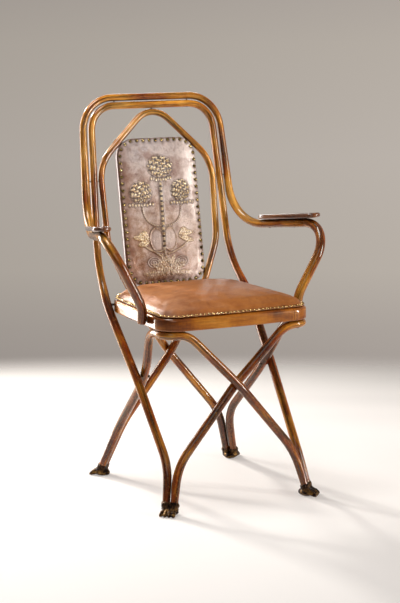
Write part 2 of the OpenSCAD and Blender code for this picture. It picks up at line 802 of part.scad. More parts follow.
module back_panel_board() {
  color("#7a5a3a") lean_panel()
    translate([0, 0, panel_board_z])
      linear_extrude(panel_board_t)
        polygon([for (p = panel_edge) [p[0], p[1]]]);
}

// Padded leather: a flat nailed border, then a low swell towards the middle
module back_panel_leather() {
  middle = [0, panel_h / 2, 0];
  border = inset(panel_edge, panel_nail_in + panel_nail_d / 2 + 1.4);
  swell = [
    for (s = [0.997, 0.93, 0.82, 0.66, 0.46, 0.24])
      [for (p = border) mix(middle, p, s) + [0, 0, panel_pad_t + panel_crown * pow(1 - s * s, 0.7)]]
  ];
  color(panel_leather) lean_panel()
    translate([0, 0, panel_front_z])
      loop_stack(
        concat([panel_edge, [for (p = panel_edge) p + [0, 0, panel_pad_t]]], swell),
        middle + [0, 0, panel_pad_t + panel_crown]
      );
}

module back_panel_cover() {
  edge = inset(panel_edge, 1.5);
  color("#6a4630") lean_panel()
    translate([0, 0, panel_back_z])
      linear_extrude(panel_cover_t)
        polygon([for (p = edge) [p[0], p[1]]]);
}

module back_panel_nails() {
  line = inset(panel_edge, panel_nail_in);
  color(brass) lean_panel()
    for (p = equal_steps(line, panel_nail_pitch))
      translate([p[0], p[1], panel_front_z + panel_pad_t + seat_gap]) dome_head(panel_nail_d);
}

// Steel plates behind the panel's corners that carry it on the pointed loop
plate_t = 1.6;
plate_w = 13;
plate_l = 32;
plate_hole_in = 6.5;
// Part of each plate that lies on the panel
plate_on_panel = 16;
plate_high = 12;
plate_low = 26;
plate_spots = [
  [panel_w / 2 - plate_high, panel_h - plate_high, 45],
  [-panel_w / 2 + plate_high, panel_h - plate_high, 135],
  [panel_w / 2, plate_low, 0],
  [-panel_w / 2, plate_low, 180]
];
module plate_shape() {
  difference() {
    translate([-plate_l / 2, -plate_w / 2, 0]) cube([plate_l, plate_w, plate_t]);
    for (side = [-1, 1])
      translate([side * (plate_l / 2 - plate_hole_in), 0, -1])
        cylinder(d = screw_d + 0.4, h = plate_t + 2, $fn = 24);
  }
}
module back_panel_plates() {
  color(steel) lean_panel()
    for (s = plate_spots)
      translate([s[0], s[1], panel_back_z - plate_t - seat_gap])
        rotate([0, 0, s[2]])
          translate([plate_l / 2 - plate_on_panel, 0, 0]) plate_shape();
}

// Arm pad, drawn flat with its length along y, then laid along the arm
module pad_solid() {
  straight = (pad_l - pad_w) / 2;
  rim_r = pad_t * 0.5;
  slice = 0.2;
  hull() {
    for (end = [-1, 1], angle = [-90:30:90])
      translate([0, end * straight, rim_r + (rim_r - slice / 2) * sin(angle) - slice / 2])
        cylinder(d = pad_w - 2 * rim_r * (1 - cos(angle)), h = slice, $fn = 32);
  }
}
module arm_pad(side) {
  yaw = atan2(arm_dir[0], -arm_dir[1]);
  pitch = atan2(arm_dir[2], arm_flat);
  place()
    difference() {
      mirror([side < 0 ? 1 : 0, 0, 0])
        translate(pad_middle)
          rotate([0, 0, yaw])
            rotate([-pitch, 0, 0])
              translate([0, 0, pad_lift]) pad_solid();
      fastener_holes(arm_pad_screw_list);
    }
}
module arm_pad_left() {
  color("#5d2f14") arm_pad(-1);
}
module arm_pad_right() {
  color("#5d2f14") arm_pad(1);
}

// Cast paw foot, drawn with its toes along +X and its heel behind, then turned to its corner.
// The two rods stand in sockets that lean as the leg does, and a pin holds them.
ball_d = paw_w * 0.5;
socket_sink = 0.4;
module paw_form(foot_end, up, across, heading) {
  translate([foot_end[0], foot_end[1], 0])
    rotate([0, 0, heading]) {
      hull() {
        translate([-paw_l * 0.2, 0, ball_d * 0.22]) sphere(d = ball_d, $fn = 14);
        for (side = [-1, 1])
          translate([paw_l * 0.12, side * paw_w * 0.23, ball_d * 0.25]) sphere(d = ball_d * 0.9, $fn = 14);
      }
      for (k = toes)
        rotate([0, 0, k * toe_fan])
          hull() {
            translate([toe_start, k * toe_step, toe_r * 1.4]) sphere(r = toe_r, $fn = 12);
            translate([toe_end, k * toe_step, toe_r * 0.8]) sphere(r = toe_tip_r, $fn = 12);
          }
    }
  hull()
    for (side = [-1, 1], rise = [0, paw_h - paw_sole - cuff_wall])
      translate(foot_end + up * rise + side * rod_side * across)
        sphere(d = foot_d + 2 * cuff_wall, $fn = 16);
}
module paw(foot_end, foot_part, across) {
  up = unit(foot_part - foot_end);
  heading = foot_end[1] < foot_part[1] ? -45 : 45;
  difference() {
    paw_form(foot_end, up, across, heading);
    for (side = [-1, 1]) {
      lean = rod_up(foot_end, foot_part, side * across);
      translate(foot_end + side * rod_side * across - socket_sink * lean)
        rotate([0, acos(lean[2]), atan2(lean[1], lean[0])])
          cylinder(d = foot_d + 2 * seat_gap, h = paw_h * 2, $fn = 32);
    }
    translate([foot_end[0] - paw_l, foot_end[1] - paw_l, -paw_h])
      cube([2 * paw_l, 2 * paw_l, paw_h]);
    fastener_holes(paw_pin_list);
  }
}
module paw_front_right() {
  color(bronze) place() paw(front_end, front_part, front_across);
}
module paw_front_left() {
  color(bronze) place() mirror([1, 0, 0]) paw(front_end, front_part, front_across);
}
module paw_back_right() {
  color(bronze) place() paw(back_end, back_part, back_across);
}
module paw_back_left() {
  color(bronze) place() mirror([1, 0, 0]) paw(back_end, back_part, back_across);
}

module post_bolts() {
  color(steel) place() fasteners(post_bolt_list);
}
module support_bolts() {
  color(steel) place() fasteners(support_bolt_list);
}
module loop_screws() {
  color(steel) place() fasteners(loop_screw_list);
}
module back_ring_screws() {
  color(steel) place() fasteners(back_ring_screw_list);
}
module crossing_bolts() {
  color(steel) place() fasteners(crossing_bolt_list);
}
module bow_screws() {
  color(steel) place() fasteners(bow_screw_list);
}
module arm_pad_screws() {
  color(steel) place() fasteners(arm_pad_screw_list);
}
module paw_pins() {
  color(bronze) place() fasteners(paw_pin_list);
}

outer_bow();
inner_bow();
pointed_loop();
corner_loop_left();
corner_loop_right();
seat_ring();
seat_board();
seat_cushion();
seat_strip();
seat_nails();
back_panel_board();
back_panel_leather();
back_panel_cover();
back_panel_nails();
back_panel_plates();
arm_pad_left();
arm_pad_right();
paw_front_left();
paw_front_right();
paw_back_left();
paw_back_right();
post_bolts();
support_bolts();
loop_screws();
back_ring_screws();
crossing_bolts();
bow_screws();
arm_pad_screws();
paw_pins();
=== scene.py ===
import math

import bpy
import bmesh
import numpy as np
from mathutils import Matrix, Vector


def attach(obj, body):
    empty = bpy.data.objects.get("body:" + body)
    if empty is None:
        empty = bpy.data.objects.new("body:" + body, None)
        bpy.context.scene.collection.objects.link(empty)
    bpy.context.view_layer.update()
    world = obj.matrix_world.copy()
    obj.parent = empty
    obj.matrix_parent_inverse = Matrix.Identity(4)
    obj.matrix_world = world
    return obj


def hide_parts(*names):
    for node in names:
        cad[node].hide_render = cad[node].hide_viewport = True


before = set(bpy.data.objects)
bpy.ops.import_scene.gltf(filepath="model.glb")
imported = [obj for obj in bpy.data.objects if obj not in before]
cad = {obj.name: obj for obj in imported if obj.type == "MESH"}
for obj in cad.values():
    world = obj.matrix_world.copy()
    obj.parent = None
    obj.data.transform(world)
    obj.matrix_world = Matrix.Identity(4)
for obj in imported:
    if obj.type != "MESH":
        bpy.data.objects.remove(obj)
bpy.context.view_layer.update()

# The part's own sizes in millimetres
back_h = 901
back_rake = math.radians(11.2)
bow_top_w = 357
bow_arm_w = 388
bow_corner_r = 80
bow_side_gap = 3
bow_top_gap = 1.5
post_bend_rise = 73
post_bend_r = 200
loop_shoulder_drop = 163
loop_gap = 0.8
loop_low_w = 289
loop_low_rise = 110
loop_seat_w = 182
loop_point_r = 58
loop_shoulder_r = 100
arm_back_rise = 140
arm_back_r = 108
arm_front_rise = 178
arm_front_w = 577
arm_front_r = 70
arm_reach = 278
support_setback = 91
seat_h = 439
ring_h = 29
ring_w = 42
seat_front_w = 382
seat_back_w = 352
seat_depth = 355
seat_front_bow = 4
seat_front_r = 48
seat_back_r = 95
board_t = 8
lip_w = 12
crown_h = 38
cushion_side_h = 13
leather_t = 1.8
strip_t = 0.9
strip_w = 9
strip_setback = 3.5
feet_front_inset = 14
feet_depth = 377
feet_ahead = 4
front_part_z = 102
back_part_z = 127
front_splay_x = 19
front_splay_y = 23
back_splay_x = 38
back_splay_y = 35
front_cross_drop = 165
back_cross_drop = 149
side_cross_drop = 162
side_cross_back = 168
side_cross_inset = 31
loop_plan_r = 28
loop_turn_r = 100
loop_flat = 54
loop_side_flat = 82
loop_inset = 13
top_d = 17
upright_d = 20
arm_d = 22
inner_d = 17.5
loop_d = 16
leg_d = 20
foot_d = 18
gap = 0.3
panel_w = 205
panel_top_drop = 107
panel_lift = 11
panel_r = 44
panel_board_t = 10
panel_pad_t = 4
panel_crown = 6
panel_cover_t = 1.5
pad_l = 188
pad_w = 46
pad_t = 11
pad_setback = 50
paw_h = 27
paw_w = 46
paw_l = 52
paw_sole = 8
nail_d = 8.6
nail_pitch = 10.4
panel_nail_d = 8
panel_nail_pitch = 16.4
panel_nail_in = 5.2
bolt_d = 6
bolt_head_d = 10
screw_d = 3.5
screw_head_d = 7
# Bend radii of the rods' slower turns
slow_bend_r = 400
cross_bend_r = 300
foot_bend_r = 150
support_bend_r = 90
loop_low_r = 140
loop_seat_r = 220
# Share of a straight run that the bend at its end may take up
bend_share = 0.48
elbow_share = 0.62
foot_share = 0.75


# Vectors, bends and rods, as the part has them
def vec(*xyz):
    return np.array(xyz, dtype=float)


def unit(v):
    return v / np.linalg.norm(v)


def flip(p):
    return vec(-p[0], p[1], p[2])


def mix(a, b, t):
    return a + (b - a) * t


def bend(a, b, c, r, step, share=bend_share):
    u = unit(a - b)
    v = unit(c - b)
    turn = math.pi - math.acos(max(-1.0, min(1.0, float(u @ v))))
    if turn < math.radians(0.5):
        return [b]
    reach = min(r * math.tan(turn / 2), np.linalg.norm(a - b) * share, np.linalg.norm(c - b) * share)
    true_r = reach / math.tan(turn / 2)
    centre = b + unit(u + v) * true_r / math.cos(turn / 2)
    e1 = unit(b + u * reach - centre)
    away = b + v * reach - centre
    e2 = unit(away - (away @ e1) * e1)
    count = max(4, math.ceil(math.degrees(turn) / step))
    angles = turn * np.arange(count + 1) / count
    return [centre + true_r * (math.cos(t) * e1 + math.sin(t) * e2) for t in angles]


def rod_path(corners, step=3.0):
    """Points and diameters along corners, each with its bend radius, diameter and share."""
    points = [corners[0][0]]
    widths = [corners[0][2]]
    for before, (spot, r, width, *share), after in zip(corners, corners[1:], corners[2:]):
        turn = bend(before[0], spot, after[0], r, step, *share)
        points += turn
        widths += [width] * len(turn)
    points.append(corners[-1][0])
    widths.append(corners[-1][2])
    return np.array(points), np.array(widths, dtype=float)


y_back = seat_depth
ring_z = seat_h - ring_h
post_z = seat_h - ring_h / 2
tan_rake = math.tan(back_rake)
ring_air = 1.8
loop_seat_y = y_back + loop_d / 2 + ring_air
back_base_y = loop_seat_y + (seat_h - post_z) * tan_rake
toe_r = paw_w / 8 + 1
toe_end = paw_l * 0.36
toe_step = toe_r * 1.2
toe_tip_r = toe_r * 0.84
# Degrees between the toes, and the turn of the front paws
toe_fan = 9
front_turn = -45
toes = (-1.5, -0.5, 0.5, 1.5)
toe_turns = [(k, math.radians(toe_fan * k + front_turn)) for k in toes]
toe_reach = min(toe_end * math.sin(a) + k * toe_step * math.cos(a) for k, a in toe_turns)
reach_front = -feet_ahead - toe_tip_r + toe_reach
bow_top_z = back_h - top_d / 2
reach_back = back_base_y + (bow_top_z - seat_h) * tan_rake + top_d / 2
y_mid = (reach_front + reach_back) / 2
post_bend_z = seat_h + post_bend_rise
loop_shoulder_z = back_h - loop_shoulder_drop
loop_low_z = seat_h + loop_low_rise
arm_back_z = seat_h + arm_back_rise
arm_front_z = seat_h + arm_front_rise
front_cross_z = seat_h - front_cross_drop
back_cross_z = seat_h - back_cross_drop
side_cross_z = seat_h - side_cross_drop
inner_top_z = bow_top_z - (top_d + inner_d) / 2 - bow_top_gap
loop_z = ring_z - leg_d / 2 - gap


def on_back(x, z):
    return vec(x, back_base_y + (z - seat_h) * tan_rake, z)


def side_x(y):
    return mix(seat_front_w, seat_back_w, y / seat_depth) / 2


def ring_x(y):
    corner = y_back - seat_back_r
    if y < corner:
        return side_x(y)
    return side_x(corner) - seat_back_r + math.sqrt(seat_back_r ** 2 - (y - corner) ** 2)


rod_side = (foot_d + gap) / 2
feet_front_x = seat_front_w / 2 - feet_front_inset
feet_back_x = seat_back_w / 2
front_end = vec(feet_front_x, -feet_ahead, paw_sole)
front_part = vec(feet_front_x - front_splay_x, front_splay_y - feet_ahead, front_part_z)
back_end = vec(feet_back_x, feet_depth - feet_ahead, paw_sole)
back_part = vec(feet_back_x - back_splay_x, feet_depth - feet_ahead - back_splay_y, back_part_z)
part_side = leg_d / 2 + 3 * gap
cuff_wall = 1.8
front_across = unit(vec(1, 1, 0))
back_across = unit(vec(1, -1, 0))


def rod_up(foot_end, foot_part, across):
    return unit(foot_part + part_side * across - foot_end - rod_side * across)


def leg(foot_end, foot_part, across):
    """A rod's last corners: where it leaves its neighbour, the paw's top and the end in the paw."""
    last = foot_end + rod_side * across
    return [
        [foot_part + part_side * across, foot_bend_r, leg_d, foot_share],
        [last + paw_h * rod_up(foot_end, foot_part, across), 0, foot_d],
        [last, 0, foot_d],
    ]


support_y = support_setback
support_x = side_x(support_y) + arm_d / 2 + gap
arm_back = on_back(bow_arm_w / 2, arm_back_z)
arm_front = vec(arm_front_w / 2, y_back - arm_reach, arm_front_z)
bow_corner = on_back(bow_top_w / 2, bow_top_z)
outer_half = [
    [bow_corner, bow_corner_r, top_d],
    [arm_back, arm_back_r, upright_d],
    [arm_front, arm_front_r, arm_d, elbow_share],
    [vec(support_x, support_y - 6, seat_h + 14), support_bend_r, arm_d],
    [vec(support_x, support_y, ring_z + 8), 0, arm_d - 2],
]
cross_shift = leg_d / 2 + 5 * gap
inner_corner_x = bow_top_w / 2 - (top_d + inner_d) / 2 - bow_side_gap
inner_low_x = bow_arm_w / 2 - (upright_d + inner_d) / 2 - bow_side_gap
post_slope = (inner_low_x - inner_corner_x) / (bow_top_z - arm_back_z)
inner_post_x = inner_low_x + post_slope * (arm_back_z - post_bend_z)
inner_corner = on_back(inner_corner_x, inner_top_z)
post_bend = on_back(inner_post_x, post_bend_z)
side_cross_y = side_cross_back
side_cross_x = side_x(side_cross_y) - side_cross_inset
post_y = mix(side_cross_y, post_bend[1], (post_z - side_cross_z) / (post_bend_z - side_cross_z))
post_x = ring_x(post_y - leg_d * 0.7) + leg_d / 2 + ring_air
inner_half = [
    [inner_corner, bow_corner_r - (top_d + inner_d) / 2 - bow_side_gap, inner_d],
    [post_bend, post_bend_r, inner_d],
    [vec(post_x, post_y, post_z), slow_bend_r, leg_d],
    [vec(side_cross_x + 2 * cross_shift, side_cross_y, side_cross_z), slow_bend_r, leg_d],
] + leg(front_end, front_part, front_across)
loop_top_z = inner_top_z - (inner_d + loop_d) / 2 - gap
bow_join_z = loop_shoulder_z - 38
shoulder_x = inner_corner_x + post_slope * (inner_top_z - bow_join_z) - (inner_d + loop_d) / 2 - loop_gap
point_drop = loop_shoulder_z - (loop_top_z - loop_point_r)
point_span = math.hypot(shoulder_x, point_drop)
point_angle = math.atan2(point_drop, shoulder_x) - math.asin(loop_point_r / point_span) + math.pi
loop_point_z = loop_shoulder_z + shoulder_x * math.tan(math.pi - point_angle)
loop_corner = vec(side_x(0) - loop_inset, loop_inset, loop_z)
front_cross_y = loop_corner[1] - leg_d / 5
back_cross_y = mix(loop_seat_y, back_part[1], 0.2)


def loop_half(shift):
    return [
        [on_back(shoulder_x, loop_shoulder_z), loop_shoulder_r, loop_d],
        [on_back(loop_low_w / 2, loop_low_z), loop_low_r, loop_d],
        [vec(loop_seat_w / 2, loop_seat_y, post_z), loop_seat_r, loop_d],
        [vec(0, back_cross_y + shift, back_cross_z), cross_bend_r, leg_d],
    ] + leg(flip(back_end), flip(back_part), -flip(back_across))


def corner_loop(shift):
    return leg(flip(front_end), flip(front_part), -flip(front_across))[::-1] + [
        [vec(0, front_cross_y + shift, front_cross_z), cross_bend_r, leg_d],
        [loop_corner - vec(loop_flat, 0, 0), loop_turn_r, leg_d],
        [loop_corner, loop_plan_r, leg_d],
        [loop_corner + vec(-2, loop_side_flat, 0), loop_turn_r * 0.6, leg_d],
        [vec(side_cross_x, side_cross_y, side_cross_z), slow_bend_r, leg_d],
    ] + leg(back_end, back_part, back_across)


def mirrored(corners):
    return [[flip(c[0])] + list(c[1:]) for c in corners]


def whole(half):
    return mirrored(half)[::-1] + half


def linked(name, data):
    obj = bpy.data.objects.new(name, data)
    bpy.context.scene.collection.objects.link(obj)
    return obj


# Camera at the photograph's angle
camera_data = bpy.data.cameras.new("camera")
camera_data.sensor_fit = "HORIZONTAL"
camera_data.sensor_width = 36
camera_data.lens = 159.95
camera = linked("camera", camera_data)
camera.location = (-1.8446, -3.6261, 1.1558)
look_at = Vector((-0.0011, -0.0238, 0.435))
camera.rotation_euler = (look_at - camera.location).to_track_quat("-Z", "Y").to_euler()
bpy.context.scene.camera = camera
bpy.context.scene.view_settings.view_transform = "Standard"


# Colours and node helpers
def rgba(colour):
    """Linear light from a hex code, or a grey from one number."""
    if not isinstance(colour, str):
        return (colour, colour, colour, 1.0)
    parts = [int(colour[i:i + 2], 16) / 255 for i in (1, 3, 5)]
    return tuple(c / 12.92 if c <= 0.04045 else ((c + 0.055) / 1.055) ** 2.4 for c in parts) + (1.0,)


class Shader:
    """A node tree of a material or a world. A socket is given by its name, or as i0, i1 and so on."""

    def __init__(self, name, kind="materials"):
        self.owner = getattr(bpy.data, kind).new(name)
        self.owner.use_nodes = True
        self.tree = self.owner.node_tree
        self.tree.nodes.clear()

    def add(self, kind, props=None, **sockets):
        node = self.tree.nodes.new(kind)
        for key, value in (props or {}).items():
            setattr(node, key, value)
        for key, value in sockets.items():
            by_number = key[0] == "i" and key[1:].isdigit()
            socket = node.inputs[int(key[1:]) if by_number else key.replace("_", " ")]
            if isinstance(value, bpy.types.NodeSocket):
                self.tree.links.new(value, socket)
            else:
                socket.default_value = rgba(value) if isinstance(value, str) else value
        return node

    def place(self):
        return self.add("ShaderNodeTexCoord").outputs["Object"]

    def part(self, vector, axis):
        return self.add("ShaderNodeSeparateXYZ", Vector=vector).outputs[axis]

    def attribute(self, name, out="Fac"):
        return self.add("ShaderNodeAttribute", {"attribute_name": name}).outputs[out]

    def noise(self, vector, scale, detail=3.0, rough=0.55, stretch=None):
        if stretch:
            vector = self.add("ShaderNodeMapping", Vector=vector, Scale=stretch).outputs["Vector"]
        node = self.add("ShaderNodeTexNoise", Vector=vector, Scale=scale, Detail=detail, Roughness=rough)
        return node.outputs["Fac"]

    def cells(self, vector, scale, feature="DISTANCE_TO_EDGE"):
        node = self.add("ShaderNodeTexVoronoi", {"feature": feature}, Vector=vector, Scale=scale)
        return node.outputs["Distance"]

    # Ambient occlusion, which the materials use to paint shade near other surfaces
    def corners(self, distance):
        return self.add("ShaderNodeAmbientOcclusion", {"samples": 4}, Distance=distance).outputs["AO"]

    def ramp(self, fac, stops, smooth=False):
        node = self.add("ShaderNodeValToRGB", Fac=fac)
        items = node.color_ramp.elements
        node.color_ramp.interpolation = "EASE" if smooth else "LINEAR"
        while len(items) < len(stops):
            items.new(0.5)
        for item, (place, colour) in zip(items, stops):
            item.position = place
            item.color = rgba(colour)
        return node.outputs["Color"]

    def math(self, kind, a, b, clamp=False):
        return self.add("ShaderNodeMath", {"operation": kind, "use_clamp": clamp}, i0=a, i1=b).outputs[0]

    def times(self, a, b, clamp=False):
        return self.math("MULTIPLY", a, b, clamp)

    def plus(self, a, b, clamp=False):
        return self.math("ADD", a, b, clamp)

    def blend(self, a, share_a, b, share_b):
        return self.plus(self.times(a, share_a), self.times(b, share_b))

    def range(self, value, low, high, to_low=0.0, to_high=1.0):
        limits = dict(From_Min=low, From_Max=high, To_Min=to_low, To_Max=to_high)
        return self.add("ShaderNodeMapRange", Value=value, **limits).outputs["Result"]

    def mix(self, fac, a, b, kind="MIX"):
        node = self.add("ShaderNodeMix", {"data_type": "RGBA", "blend_type": kind}, i0=fac, i6=a, i7=b)
        return node.outputs[2]

    def stain(self, colour, tint, value, *limits):
        """Lays a tint over the colour by a value's range."""
        return self.mix(self.range(value, *limits), colour, tint)

    def shade(self, colour, share, value, stops):
        """Darkens the colour by a ramp of greys."""
        return self.mix(share, colour, self.ramp(value, stops), "MULTIPLY")

    def bump(self, height, strength, distance, **under):
        node = self.add("ShaderNodeBump", Height=height, Strength=strength, Distance=distance, **under)
        return node.outputs["Normal"]

    def dot(self, vector, way):
        node = self.add("ShaderNodeVectorMath", {"operation": "DOT_PRODUCT"}, i0=vector, i1=way)
        return node.outputs["Value"]

    def seen(self):
        """One for the camera's, mirrored and refracted rays, none for the light on the object."""
        rays = self.add("ShaderNodeLightPath").outputs
        return self.math("MAXIMUM", rays["Is Camera Ray"],
                         self.math("MAXIMUM", rays["Is Glossy Ray"], rays["Is Transmission Ray"]))

    def output(self, node, kind="ShaderNodeOutputMaterial"):
        self.tree.links.new(node.outputs[0], self.add(kind).inputs["Surface"])
        return self.owner

    def finish(self, colour, **sockets):
        return self.output(self.add("ShaderNodeBsdfPrincipled", Base_Color=colour, **sockets))


# Varnished bent beech: the grain runs along each rod
def rod_wood():
    s = Shader("rod_wood")
    at = s.attribute("grain", "Vector")
    where = s.place()
    broad = s.noise(at, 60, 4, 0.6, (0.08, 1, 1))
    streak = s.noise(at, 170, 6, 0.65, (0.05, 1, 1))
    fleck = s.noise(at, 1500, 2, 0.5, (0.11, 1, 1))
    speck = s.noise(at, 480, 3, 0.75, (0.4, 1, 1))
    # The feet's ends are darker than the back
    rise = s.range(s.part(where, "Z"), 0.08, 0.62, -0.085, 0.02)
    tone = s.plus(s.blend(broad, 0.5, s.noise(where, 10, 3, 0.6), 0.5), rise)
    colour = s.ramp(tone, [(0.36, "#4e1606"), (0.44, "#85420c"), (0.50, "#a57022"), (0.57, "#c0953f"),
                           (0.67, "#dcb870")])
    colour = s.shade(colour, 0.85, streak, [(0.39, 0.05), (0.47, 0.7), (0.54, 1.15), (0.61, 1.75)])
    colour = s.shade(colour, 0.55, fleck, [(0.26, 0.3), (0.38, 1.0)])
    colour = s.stain(colour, "#e2b871", speck, 0.56, 0.68, 0.0, 0.5)
    # Painted shade: near black where the rods lie close to other parts
    colour = s.stain(colour, "#0e0603", s.corners(0.009), 0.3, 0.85, 0.8, 0.0)
    rough = s.range(s.noise(at, 260, 4, 0.6, (0.2, 1, 1)), 0.3, 0.7, 0.24, 0.38)
    grooves = s.bump(s.blend(streak, 0.6, fleck, 0.4), 0.7, 0.0006)
    waves = s.bump(s.noise(at, 90, 2, 0.5, (0.5, 1, 1)), 0.25, 0.0006, Normal=grooves)
    return s.finish(colour, Roughness=rough, Normal=waves, Coat_Weight=0.85, Coat_Roughness=0.07,
                    Coat_Tint="#f4cf98", Specular_IOR_Level=0.3)


wood = rod_wood()


# Mesh helpers. Points come in millimetres, and the layers are values at the points.
def add_layer(mesh, key, values):
    values = np.asarray(values, dtype=np.float32)
    kind, field = ("FLOAT_VECTOR", "vector") if values.ndim == 2 else ("FLOAT", "value")
    mesh.attributes.new(key, kind, "POINT").data.foreach_set(field, values.ravel())


def shade_smooth(mesh):
    mesh.polygons.foreach_set("use_smooth", [True] * len(mesh.polygons))


def mesh_object(name, points, faces, material, turn_out=True, **layers):
    mesh = bpy.data.meshes.new(name)
    mesh.from_pydata([tuple(p) for p in np.asarray(points) * 0.001], [], faces)
    mesh.validate()
    for key, values in layers.items():
        add_layer(mesh, key, values)
    mesh.materials.append(material)
    shade_smooth(mesh)
    if turn_out:
        form = bmesh.new()
        form.from_mesh(mesh)
        bmesh.ops.recalc_face_normals(form, faces=form.faces)
        form.to_mesh(mesh)
        form.free()
    return linked(name, mesh)


def dress(obj, node):
    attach(obj, "root")
    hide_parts(node)
    return obj


def placed(points):
    return np.asarray(points) - vec(0, y_mid, 0)


def round_turn(count):
    return np.linspace(0, 2 * math.pi, count, endpoint=False)


def columns_of(*parts):
    return np.stack(np.broadcast_arrays(*parts), axis=1)


def ring_faces(rows, count, base=0, closed=False):
    """Faces between rings of points that follow each other in the list."""
    faces = []
    for j in range(rows if closed else rows - 1):
        low = base + j * count
        high = base + (j + 1) % rows * count
        for i in range(count):
            n = (i + 1) % count
            faces.append((low + i, low + n, high + n, high + i))
    return faces


def end_face(start, count, turned=False):
    face = tuple(range(start, start + count))
    return face[::-1] if turned else face


def tube_faces(rows, count, base=0):
    ends = [end_face(base, count, True), end_face(base + (rows - 1) * count, count)]
    return ring_faces(rows, count, base) + ends


def dome_faces(rows, count, base=0):
    """Rings that rise to one point, the last in the list, over a closed foot."""
    last = base + (rows - 1) * count
    fan = [(last + i, last + (i + 1) % count, last + count) for i in range(count)]
    return ring_faces(rows, count, base) + fan + [end_face(base, count, True)]


def lengths_along(points):
    return np.concatenate([[0], np.cumsum(np.linalg.norm(np.diff(points, axis=0), axis=1))])


def resample(points, widths, spacing):
    keep = np.concatenate([[True], np.linalg.norm(np.diff(points, axis=0), axis=1) > 1e-4])
    points = points[keep]
    widths = widths[keep]
    run = lengths_along(points)
    s = np.linspace(0, run[-1], int(run[-1] / spacing) + 1)
    out = np.stack([np.interp(s, run, points[:, k]) for k in range(3)], axis=1)
    wide = np.interp(s, run, widths)
    for _ in range(3):
        out[1:-1] = (out[:-2] + 2 * out[1:-1] + out[2:]) / 4
        wide[1:-1] = (wide[:-2] + 2 * wide[1:-1] + wide[2:]) / 4
    return out, wide, s


def carried_frames(points):
    along = np.gradient(points, axis=0)
    along /= np.linalg.norm(along, axis=1)[:, None]
    normals = np.zeros_like(along)
    start = vec(1, 0, 0) if abs(along[0][2]) > 0.9 else vec(0, 0, 1)
    n = unit(np.cross(along[0], start))
    for i, d in enumerate(along):
        n = unit(n - (n @ d) * d)
        normals[i] = n
    return along, normals, np.cross(along, normals)


rod_facets = 24
rod_spacing = 5.0
# A rod's thickness drifts a little along it and stays inside the part's
rod_knots = 40
rod_under = 0.12
rod_drift = 0.08


def bent_rod(name, corners, seed):
    points, widths, s = resample(*rod_path(corners), rod_spacing)
    along, normals, across = carried_frames(points)
    knots = np.random.default_rng(seed).normal(0, 1, rod_knots)
    drift = np.interp(s, np.linspace(0, s[-1], rod_knots), knots)
    radii = widths / 2 - rod_under + rod_drift * np.clip(drift, -1.5, 1.5)
    # Each ring's point, share of the radius and shift; the ends have a small rounded arris
    first = [(0, 0.80, 0), (0, 0.94, 0.15), (0, 1.0, 1.2)]
    rings = first + [(i, 1.0, 0) for i in range(1, len(points) - 1)]
    rings += [(-1, share, -shift) for _, share, shift in first[::-1]]
    turn = round_turn(rod_facets)
    verts = []
    grain = []
    for i, share, shift in rings:
        r = radii[i] * share
        centre = points[i] + along[i] * shift
        verts.append(centre + r * (np.cos(turn)[:, None] * normals[i] + np.sin(turn)[:, None] * across[i]))
        grain.append(columns_of(s[i], r * np.cos(turn), r * np.sin(turn)))
    # Each rod has its own stretch of grain
    grain = np.concatenate(grain) * 0.001 + vec(seed * 7.3, seed * 1.1, 0)
    faces = [f[::-1] for f in tube_faces(len(rings), rod_facets)]
    return mesh_object(name, placed(np.concatenate(verts)), faces, wood, turn_out=False, grain=grain)


loop_point = [on_back(0, loop_point_z), loop_point_r, loop_d]
rods = {
    "outer_bow": whole(outer_half),
    "inner_bow": whole(inner_half),
    "pointed_loop": mirrored(loop_half(cross_shift))[::-1] + [loop_point] + loop_half(-cross_shift),
    "corner_loop_right": corner_loop(cross_shift),
    "corner_loop_left": mirrored(corner_loop(-cross_shift)),
}
for number, (name, corners) in enumerate(rods.items(), 1):
    dress(bent_rod("bent_" + name, corners, number), name)


# Seat outline, seen from above
def rounded(corners, step):
    out = []
    for i, b in enumerate(corners):
        a = corners[i - 1]
        c = corners[(i + 1) % len(corners)]
        out += bend(vec(a[0], a[1], 0), vec(b[0], b[1], 0), vec(c[0], c[1], 0), b[2], step)
    return np.array(out)


def divided(outline, limit):
    out = []
    for a, b in zip(outline, np.roll(outline, -1, axis=0)):
        parts = max(1, math.ceil(np.linalg.norm(b - a) / limit))
        out += [mix(a, b, k / parts) for k in range(parts)]
    return np.array(out)


def outward(outline):
    along = np.roll(outline, -1, axis=0) - np.roll(outline, 1, axis=0)
    along /= np.linalg.norm(along, axis=1)[:, None]
    return np.stack([along[:, 1], -along[:, 0], np.zeros(len(outline))], axis=1)


def inset(outline, distance):
    return outline - distance * outward(outline)


def outline_run(outline):
    return lengths_along(np.vstack([outline, outline[:1]]))


def equal_steps(outline, pitch):
    run = outline_run(outline)
    count = round(run[-1] / pitch)
    closed = np.vstack([outline, outline[:1]])
    s = run[-1] * np.arange(count) / count
    return np.stack([np.interp(s, run, closed[:, k]) for k in range(3)], axis=1)


def band(name, outline, section, z, material, ripple=0.0):
    """A hoop round an outline. The section lists each line's distance inward and height."""
    run = outline_run(outline)[:-1]
    verts = []
    grain = []
    for inward, rise in section:
        loop = inset(outline, inward) + vec(0, 0, rise + z)
        if rise > 0:
            loop[:, 2] += ripple
        verts.append(loop)
        grain.append(columns_of(run, inward, rise) * 0.001)
    faces = ring_faces(len(section), len(outline), closed=True)
    return mesh_object(name, placed(np.concatenate(verts)), faces, material, grain=np.concatenate(grain))


seat_corners = [
    [seat_front_w / 2, 0, seat_front_r],
    [seat_back_w / 2, y_back, seat_back_r],
    [-seat_back_w / 2, y_back, seat_back_r],
    [-seat_front_w / 2, 0, seat_front_r],
    [0, -2 * seat_front_bow, 2000],
]


